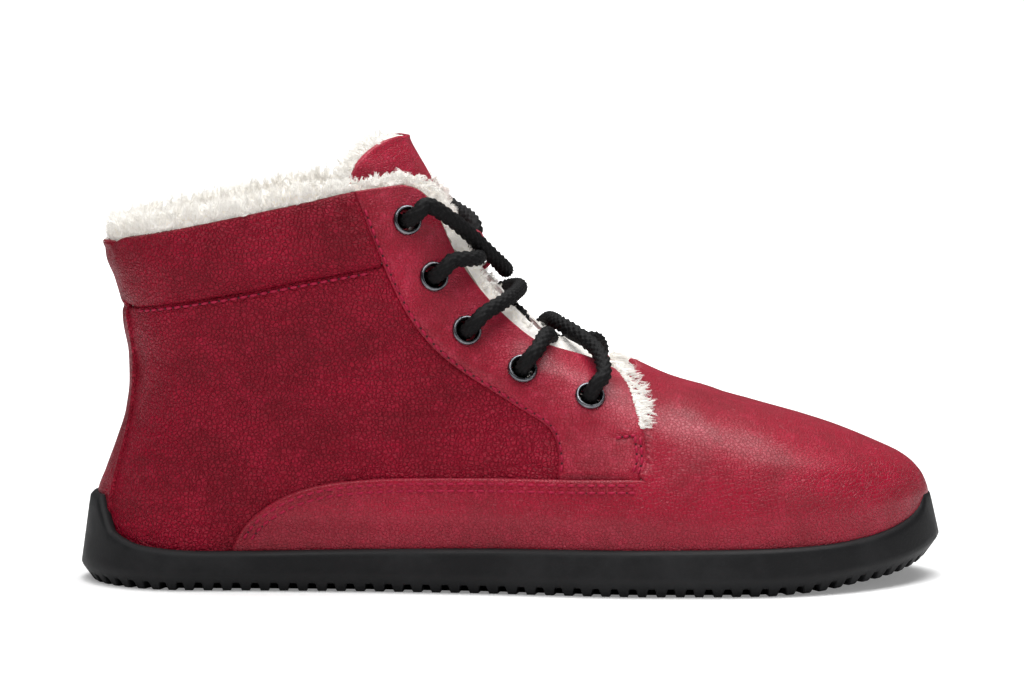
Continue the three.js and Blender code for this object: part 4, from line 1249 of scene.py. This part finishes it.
# loop on the tongue that keeps the lace in the middle
loop = {"length": 10.5, "width": 8.0, "strap": 1.2, "height": lace["diameter"] + 0.6}


def makeLoop():
    out = skinNormal(0.0, loopAt)
    across = np.array([0.0, 1.0, 0.0])
    along = unit(np.cross(out, across))
    seat = ridge(loopAt, build["tongueTop"] + build["gap"] + 0.1)
    turn = np.radians(np.linspace(0, 180, 33))
    power = lambda v: np.sign(v) * np.abs(v) ** 0.55
    width = np.linspace(-0.5, 0.5, 9)
    rings = []
    for grow in (0.0, loop["strap"]):
        half, high = loop["length"] / 2 + grow, loop["height"] + grow
        arch = np.stack([half * power(np.cos(turn)), high * power(np.sin(turn))], 1)
        edge = 0.25 * (np.abs(width) * 2) ** 6
        scale = -edge if grow else edge
        ring = (
            seat + along * (arch[:, 0][:, None] * np.ones(9))[..., None]
            + out * (arch[:, 1][:, None] + scale[None] * (arch[:, 1][:, None] > 0.5))[..., None]
            + across * (width * loop["width"])[None, :, None]
        )
        rings.append(ring.reshape(-1, 3))
    n, w = len(turn), len(width)
    faces = []
    for base, flip in ((0, True), (n * w, False)):
        i, j = np.meshgrid(np.arange(n - 1), np.arange(w - 1), indexing="ij")
        a = (base + i * w + j).ravel()
        quad = np.stack([a, a + 1, a + w + 1, a + w], 1)
        faces.append(quad[:, ::-1] if flip else quad)
    rim = np.concatenate(
        [
            np.arange(n) * w, (n - 1) * w + np.arange(1, w), np.arange(n - 2, -1, -1) * w + w - 1,
            np.arange(w - 2, 0, -1),
        ]
    )
    nxt = np.roll(rim, -1)
    faces.append(np.stack([rim, nxt, nxt + n * w, rim + n * w], 1))
    return makeMesh("tongueLoopStrap", np.vstack(rings), np.vstack(faces), facingHidePaintedLight)


loopPiece = makeLoop()
finishPiece(loopPiece, "boot", "crimson_leather", "tongue_lace_loop")
print("loop ready")

# fleece
fleece = {
    "spacing": 1.35,
    "eyeletHole": 4.1,
    "aboveCollar": 4.4,
    "pastFacing": (1.9, 1.4),
    "curl": 0.85,
    "fine": 0.4,
    "tuftLength": (2.6, 4.4),
    "facingShort": 0.6,
    "fibreRadius": 0.14,
    "fibresPerTuft": 8,
    "tuftsPerSide": 1900,
    "tuftsOnTongue": 900,
}


def pileSheet(name, outline, topAt, underAt, stretch=62.0, spacing=None, cut=None, radius=1.6):
    # a closed layer of pile with a rolled edge, its outline given as angle and height
    sheet = sheetMesh(outline, spacing or fleece["spacing"], stretch)
    if cut is not None:
        withoutHoles(sheet, cut, fleece["eyeletHole"])
    p, n = sheet["point"], sheet["normal"]
    drop = edgeDrop(sheet["inset"], radius)
    x, z = p[:, 0], sheet["z"]
    top, under = topAt(x, z), underAt(x, z)
    loose = smoothStep(0.0, 1.0, (top - under) / 4.0)
    outer = p + n * (top - drop)[:, None]
    inner = p + n * (under + drop)[:, None]
    for face, sign, seed in ((outer, 1, 5), (inner, -1, 6)):
        curls = fleece["curl"] * np.abs(latticeNoise(face, 3.4, seed)) * 1.3
        curls = curls + fleece["fine"] * latticeNoise(face, 1.5, seed + 3)
        face += n * (sign * (curls - 0.25) * (0.35 + 0.65 * loose))[:, None]
    count = len(p)
    loop = sheet["loop"]
    wall = np.stack([np.roll(loop, -1), loop, loop + count, np.roll(loop, -1) + count], 1)
    faces = [sheet["faces"], sheet["faces"][:, ::-1] + count, wall]
    thing = makeMesh(name, np.vstack([outer, inner]), faces, fleecePile)
    return thing, sheet, outer, inner


def tufts(name, roots, heading, length, radius, spread=0.75, curl=0.8):
    # small locks of wool: fibres that start round a root and twist together to a point
    count, perTuft = len(roots), fleece["fibresPerTuft"]
    side = unit(np.cross(heading, unit(chance.normal(size=(count, 3)))))
    other = np.cross(heading, side)
    phase = chance.uniform(0, 2 * math.pi, count)
    bend = curl * chance.uniform(0.5, 1.5, count)
    t = np.array([0.0, 0.22, 0.48, 0.75, 1.0])
    fibreAngle = chance.uniform(0, 2 * math.pi, (count, perTuft))
    fibreOut = spread * np.sqrt(chance.uniform(0.05, 1, (count, perTuft)))
    fibreLength = length[:, None] * chance.uniform(0.75, 1.1, (count, perTuft))
    away = side[:, None] * (fibreOut * np.cos(fibreAngle))[..., None]
    away = away + other[:, None] * (fibreOut * np.sin(fibreAngle))[..., None]
    twist = phase[:, None, None] + 3.6 * t[None, None] + chance.normal(0, 0.35, (count, perTuft, 1))
    swirl = (bend[:, None] * np.ones(perTuft))[..., None] * (t**1.2)[None, None]
    centre = (
        roots[:, None, None]
        + heading[:, None, None] * (fibreLength[..., None] * t)[..., None]
        + away[:, :, None] * (1 - 0.7 * t**1.3)[None, None, :, None]
        + side[:, None, None] * (swirl * np.cos(twist))[..., None]
        + other[:, None, None] * (swirl * np.sin(twist))[..., None]
    )
    centre = centre - heading[:, None, None] * 0.6
    corner = np.radians([0, 120, 240])
    ring = side[:, None] * np.cos(corner)[None, :, None] + other[:, None] * np.sin(corner)[None, :, None]
    taper = radius * (1 - 0.7 * t)
    points = centre[:, :, :, None] + ring[:, None, None] * taper[None, None, :, None, None]
    strands = count * perTuft
    base = (np.arange(strands) * 15)[:, None, None]
    k = (np.arange(4) * 3)[None, :, None]
    i = np.arange(3)[None, None, :]
    a, b = base + k + i, base + k + (i + 1) % 3
    faces = np.stack([a, b, b + 3, a + 3], -1).reshape(-1, 4)
    return makeMesh(name, points.reshape(-1, 3), faces, fleeceFibre)


def sampleRoots(points, normals, weight, count):
    pick = chance.choice(len(points), count, p=weight / weight.sum())
    jitter = chance.normal(0, 0.45, (count, 3))
    n = normals[pick]
    jitter -= n * (jitter * n).sum(1, keepdims=True)
    return points[pick] + jitter, n


def pressedUnderFacing(x, z):
    share = smoothStep(-8, 2, x - eyestayAt(z))
    return build["liningUnder"] + (build["pressedUnder"] - build["liningUnder"]) * share


collarLineTop = line["collarTop"]
collarHeight = lambda x: np.interp(x, collarLineTop[::-1, 0], collarLineTop[::-1, 1])
for sideName, side in sides.items():
    topLine = between(collarLineTop, 0, -125.5, -33.5)
    topLine[:, 1] += fleece["aboveCollar"] * (1 - 0.5 * smoothStep(-64, -46, topLine[:, 0]))
    narrowing = 1 - 0.7 * smoothStep(-5, 25, line["facing"][:, :1])
    facing = between(line["facing"] + narrowing * fleece["pastFacing"], 0, -28, 34)
    frontBack = np.vstack([[[29.4, 20], [29.4, 46], [37.5, 56], [38.5, 62]], facing])
    backAngle = math.pi + 0.02
    backTop = topLine[-1, 1] - 0.8
    loopPoints = np.vstack([
        beneath(frontBack, side, build["liningEdge"]),
        beneath(topLine, side, -3.5),
        [[side * backAngle, backTop], [side * backAngle, 60], [side * backAngle, 14]],
        [[side * a, 13.5] for a in np.linspace(3.0, 1.3, 20)],
    ])
    thing, sheet, outer, inner = pileSheet(
        f"liningPile.{sideName}", loopPoints, lambda x, z: -2.4 + 0 * x, pressedUnderFacing, cut=side,
    )
    finishPiece(thing, "boot", "pile", f"quarter_lining_{sideName}")
    p, n = sheet["point"], sheet["normal"]
    x, z = p[:, 0], p[:, 2]
    overCollar = smoothStep(-2.5, 0.5, z - collarHeight(x)) * (x < -30)
    spotFacing, _ = place(line["facing"][:, 0], line["facing"][:, 1], side)
    nearFacing = (nearest(p, evenly(spotFacing, 1.0)) < 7) & (sheet["inset"] < 4.5) & (x < 40) & (x > -34)
    weight = overCollar + nearFacing * 1.1 + 1e-9
    up = np.array([0, 0, 1.0])
    inwardWeight = weight + 0.05 * (z > 70)
    toward = unit(np.array([0.75, 0.0, 0.66]))
    count = fleece["tuftsPerSide"]
    rootsOut, normalOut = sampleRoots(outer, n, weight, count // 2)
    rootsIn, normalIn = sampleRoots(inner, -n, inwardWeight, count - count // 2)
    roots, heads = np.vstack([rootsOut, rootsIn]), np.vstack([normalOut, normalIn])
    lean = np.where((roots[:, :1] > -31), toward, up)
    heads = unit(heads * 0.55 + lean * 0.9 + chance.normal(0, 0.33, heads.shape))
    size = chance.uniform(*fleece["tuftLength"], len(roots)) * np.where(
        roots[:, 0] > -31, fleece["facingShort"], 1 - 0.35 * smoothStep(-64, -50, roots[:, 0]),
    )
    hair = tufts(f"collarTufts.{sideName}", roots, heads, size, fleece["fibreRadius"])
    finishPiece(hair, "boot", "pile")

# locks that spill out between the tab and the vamp
spill = {"count": 460, "from": 50.5, "length": (1.8, 6.0), "radius": 0.12}
spillRoots, spillHeads = [], []
for side in sides.values():
    z = spill["from"] + (68.5 - spill["from"]) * chance.uniform(0, 1, spill["count"]) ** 0.9
    x = tabAt(np.minimum(z, 66)) + np.where(z > 66, -2.2 * (z - 66) / 2.5, 0)
    x = x + chance.uniform(-0.8, 0.7, spill["count"])
    spot, normal = place(x, z, side)
    spillRoots.append(spot + normal * chance.uniform(-0.9, 0.3, (spill["count"], 1)))
    ahead = np.array([1.0, 0, -0.12]) - normal * normal[:, :1]
    spillHeads.append(unit(ahead) + normal * 0.22)
spillRoots, spillHeads = np.vstack(spillRoots), np.vstack(spillHeads)
spillHeads = unit(spillHeads + chance.normal(0, 0.3, spillHeads.shape))
shorter = 0.55 + 0.45 * smoothStep(spill["from"] - 2, spill["from"] + 5, spillRoots[:, 2])
spillSize = chance.uniform(*spill["length"], len(spillRoots)) * shorter
hair = tufts("tabTufts", spillRoots, spillHeads, spillSize, spill["radius"], 0.6, 0.5)
finishPiece(hair, "boot", "pile")
print("lining ready")


# lining of the vamp and the pile under the foot, seen only down the shaft
def vampLiningOutline():
    low = np.linspace(1.25, -1.25, 60)
    sideEdge = np.array([[30.5, 20], [30.5, 46], [43.5, 57.6]])
    left = beneath(sideEdge, -1, build["liningEdge"])
    right = beneath(sideEdge, 1, build["liningEdge"])[::-1]
    bottom = np.stack([low * right[-1, 0] / 1.25, np.full(60, 20.0)], 1)
    return np.vstack([left, [[0.0, 63.5]], right, bottom[1:-1]])


thing, _, _, _ = pileSheet(
    "vampLiningPile", vampLiningOutline(), lambda x, z: -2.9 + 0 * x, lambda x, z: -6.6 + 0 * x, 90.0, 2.4,
)
finishPiece(thing, "boot", "pile", "vamp_lining")


def makeInsole():
    angle = np.linspace(0, 2 * math.pi, 700, endpoint=False)
    edge = skin(angle, 16.0) - skinNormal(angle, 16.0) * 7.4
    rings = []
    for f in (1.0, 0.985, 0.96, *np.linspace(0.92, 0.0, 32)):
        y = soleMiddle(edge[:, 0]) + (edge[:, 1] - soleMiddle(edge[:, 0])) * f
        roll = -1.6 * (f > 0.99) - 0.4 * (f > 0.97)
        z = footTop - 0.3 + toeSpring(edge[:, 0]) + roll
        ring = np.column_stack([edge[:, 0], y, z])
        ring[:, 2] += 0.45 * np.abs(latticeNoise(ring, 3.2, 9)) + 0.2 * latticeNoise(ring, 1.4, 10) - 0.35
        rings.append(ring)
    return makeMesh("insolePile", np.vstack(rings), ringFaces(len(rings), len(angle)), fleecePile)


finishPiece(makeInsole(), "boot", "pile", "insole_pile")

# tongue, one piece that takes the place of the tongue and its tip
tongue = {
    "spacing": 1.2, "stretch": 62.0, "foldHeight": 121.5, "foldReach": 5.0, "topLeather": 138.4,
    "topPile": 137.6,
}
fold = ridge(tongue["foldHeight"], build["tongueTop"])
alongTongue = unit(ridge(130.0, build["tongueTop"]) - ridge(113.0, build["tongueTop"]))


def crossFold(thing, slotName, *nodes):
    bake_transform(thing)
    if nodes:
        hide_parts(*nodes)


def tongueRise(x):
    return 3.4 * smoothStep(34, 44, x)


def tongueOutline(offset, topHeight, grow=0.0):
    low = line["tongue"][::-1]
    low = low[low[:, 0] < 44]
    low = low[low[:, 1] < topHeight - 17]
    crown = np.array([
        [-49.4, topHeight - 12.5], [-47.2, topHeight - 8], [-43, topHeight - 3.8],
        [-38.5, topHeight - 1.2], [-34, topHeight],
    ])
    aside = np.array([[grow, 0]]) * smoothStep(
        100, 118, np.vstack([low, smoothLine(crown, 4)])[:, 1],
    )[:, None]
    left = beneath(np.vstack([low, smoothLine(crown, 4)]) - aside, -1, offset)
    right = left[::-1] * [-1, 1]
    ridgeTop = beneath(np.array([[-29.5, topHeight + 0.1]]), 1, offset)[0, 1]
    lowRidge = 60.0
    return np.vstack([left, [[0.0, ridgeTop]], right, [[0.0, lowRidge]]])


top = build["tongueTop"]
sheet = sheetMesh(tongueOutline(top, tongue["topLeather"]), tongue["spacing"], tongue["stretch"])
p = sheet["point"]
height = top + tongueRise(p[:, 0]) + lumps(p, 12, 81, 0.28) * smoothStep(0, 4, sheet["inset"])
height = height + 0.25 * np.sin(p[:, 2] / 3.3 + 2.0 * latticeNoise(p, 15, 83)) * (sheet["inset"] > 1.5)
tonguePiece = leatherPiece("tongueLeather", sheet, height, facingHidePaintedLight, radius=0.9)
crossFold(tonguePiece, "crimson_leather", "tongue", "tongue_tip")
thing, sheet, outer, inner = pileSheet(
    "tonguePile", tongueOutline(-14.0, tongue["topPile"], 3.0),
    lambda x, z: top - 1.5 + tongueRise(x), lambda x, z: top - 6.2 + tongueRise(x),
)
crossFold(thing, "pile", "tongue_lining", "tongue_tip_lining")
p, n = sheet["point"], sheet["normal"]
rim = (sheet["inset"] < 3.2) & (outer[:, 2] > 112) & (outer[:, 0] < -40)
rimBack = (sheet["inset"] < 5.0) & (outer[:, 2] > 112)
count = fleece["tuftsOnTongue"]
rootsOut, normalOut = sampleRoots(outer, n, rim + 1e-9, count // 3)
rootsIn, normalIn = sampleRoots(inner, -n, rimBack + 0.1 * (outer[:, 2] > 100), count - count // 3)
roots, heads = np.vstack([rootsOut, rootsIn]), np.vstack([normalOut * 0.1, normalIn * 0.6])
heads = unit(heads + np.array([-0.75, 0, 0.45]) + chance.normal(0, 0.3, heads.shape))
size = chance.uniform(2.0, 3.6, len(roots))
hair = tufts("tongueTufts", roots, heads, size, fleece["fibreRadius"])
crossFold(hair, "pile")
print("tongue ready")

# all the thread, and the dark discs of painted shade in its needle holes
threadRings = np.array(threads)
count, rows, corners = threadRings.shape[:3]
base = (np.arange(count) * rows * corners)[:, None, None]
k = (np.arange(rows - 1) * corners)[None, :, None]
i = np.arange(corners)[None, None, :]
a, b = base + k + i, base + k + (i + 1) % corners
faces = np.stack([a, b, b + corners, a + corners], -1).reshape(-1, 4)
threadPiece = makeMesh("stitches", threadRings.reshape(-1, 3), faces[:, ::-1], threadFibre)
finishPiece(threadPiece, "boot", "crimson_leather")
turn = np.linspace(0, 2 * math.pi, 9)[:-1]
holePoints, holeFaces = [], []
for spot, along, across, normal in paintedHoleShades:
    start = len(holePoints) * 9
    aroundHole = along * np.cos(turn)[:, None] + across * np.sin(turn)[:, None]
    ringPoints = spot + aroundHole * stitching["hole"] - normal * 0.12
    holePoints.append(np.vstack([ringPoints, spot[None] - normal * 0.02]))
    holeFaces.append(
        np.stack([start + np.arange(8), start + np.roll(np.arange(8), -1), np.full(8, start + 8)], 1)
    )
holeShadePiece = makeMesh("paintedHoleShades", np.vstack(holePoints), np.vstack(holeFaces), paintedHoleShade)
finishPiece(holeShadePiece, "boot", "crimson_leather_dark")
print("stitches ready:", count)

# pieces inside that stay as they are, with their own finish
inside = {
    "insole_board": boardFibre,
    "insole_foam": foamCells,
    "heel_counter": boardFibre,
    "toe_puff": boardFibre,
    "collar_foam_lateral": foamCells,
    "collar_foam_medial": foamCells,
    "facing_reinforcement_lateral": boardFibre,
    "facing_reinforcement_medial": boardFibre,
}
for name, material in inside.items():
    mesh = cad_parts[name].data
    mesh.materials.clear()
    mesh.materials.append(material)

# floor and light
studio = {
    "floor": (0.9, 0.9, 0.9, 1),
    "glowNear": 0.22,  # how much the floor glows round the boot, and far from it
    "glowFar": 1.1,
    "glowFrom": 0.3,
    "glowTo": 1.0,
    "floorHalf": 9000.0,
    "air": 1.05,  # the white seen behind the boot; "world" is the light that it gives
    "world": 0.1,
    "keyPower": 10.5,
    "fillPower": 1.2,
    "topPower": 22.0,
}
floorMaterial = bpy.data.materials.new("paleFloor")
floorMaterial.use_nodes = True
floorTree = floorMaterial.node_tree
floorShader = floorTree.nodes["Principled BSDF"]
floorFinish = {"Base Color": studio["floor"], "Roughness": 0.9, "Specular IOR Level": 0.1}
for key, value in {**floorFinish, "Emission Color": (1, 1, 1, 1)}.items():
    floorShader.inputs[key].default_value = value
floorSpot = nodeOf(floorTree, "ShaderNodeTexCoord").outputs["Object"]
fromBoot = nodeOf(floorTree, "ShaderNodeVectorMath", {0: floorSpot}, operation="LENGTH").outputs["Value"]
glow = mapped(
    floorTree, fromBoot, studio["glowFrom"], studio["glowTo"], studio["glowNear"], studio["glowFar"],
)
seen = nodeOf(floorTree, "ShaderNodeLightPath").outputs["Is Camera Ray"]
glow = combine(floorTree, "MULTIPLY", glow, seen)
floorTree.links.new(glow, floorShader.inputs["Emission Strength"])
floorPoints = np.array([[x, y, 0.0] for y in (-1, 1) for x in (-1, 1)]) * studio["floorHalf"]
floor = makeMesh("floor", floorPoints, np.array([[0, 1, 3, 2]]), floorMaterial)

world = bpy.data.worlds.new("studioAir")
scene.world = world
world.use_nodes = True
airTree = world.node_tree
airTree.nodes["Background"].inputs["Color"].default_value = (1, 1, 1, 1)
airSeen = nodeOf(airTree, "ShaderNodeLightPath").outputs["Is Camera Ray"]
airTree.links.new(
    mapped(airTree, airSeen, 0.0, 1.0, studio["world"], studio["air"]),
    airTree.nodes["Background"].inputs["Strength"],
)


def softBox(name, spot, size, power, aim=(0, 0, 60)):
    data = bpy.data.lights.new(name, "AREA")
    data.shape = "RECTANGLE"
    data.size, data.size_y = size
    data.energy = power
    lamp = bpy.data.objects.new(name, data)
    lamp.location = [v * mm for v in spot]
    aimAt = Vector([v * mm for v in aim]) - lamp.location
    lamp.rotation_euler = aimAt.to_track_quat("-Z", "Y").to_euler()
    scene.collection.objects.link(lamp)
    return lamp


softBox("keyLight", (-350, -750, 1250), (1.1, 0.8), studio["keyPower"])
softBox("fillLight", (950, -850, 600), (0.7, 0.7), studio["fillPower"])
softBox("topLight", (150, 150, 1300), (1.3, 0.9), studio["topPower"])
scene.view_settings.view_transform = "Standard"
print("floor and light ready")
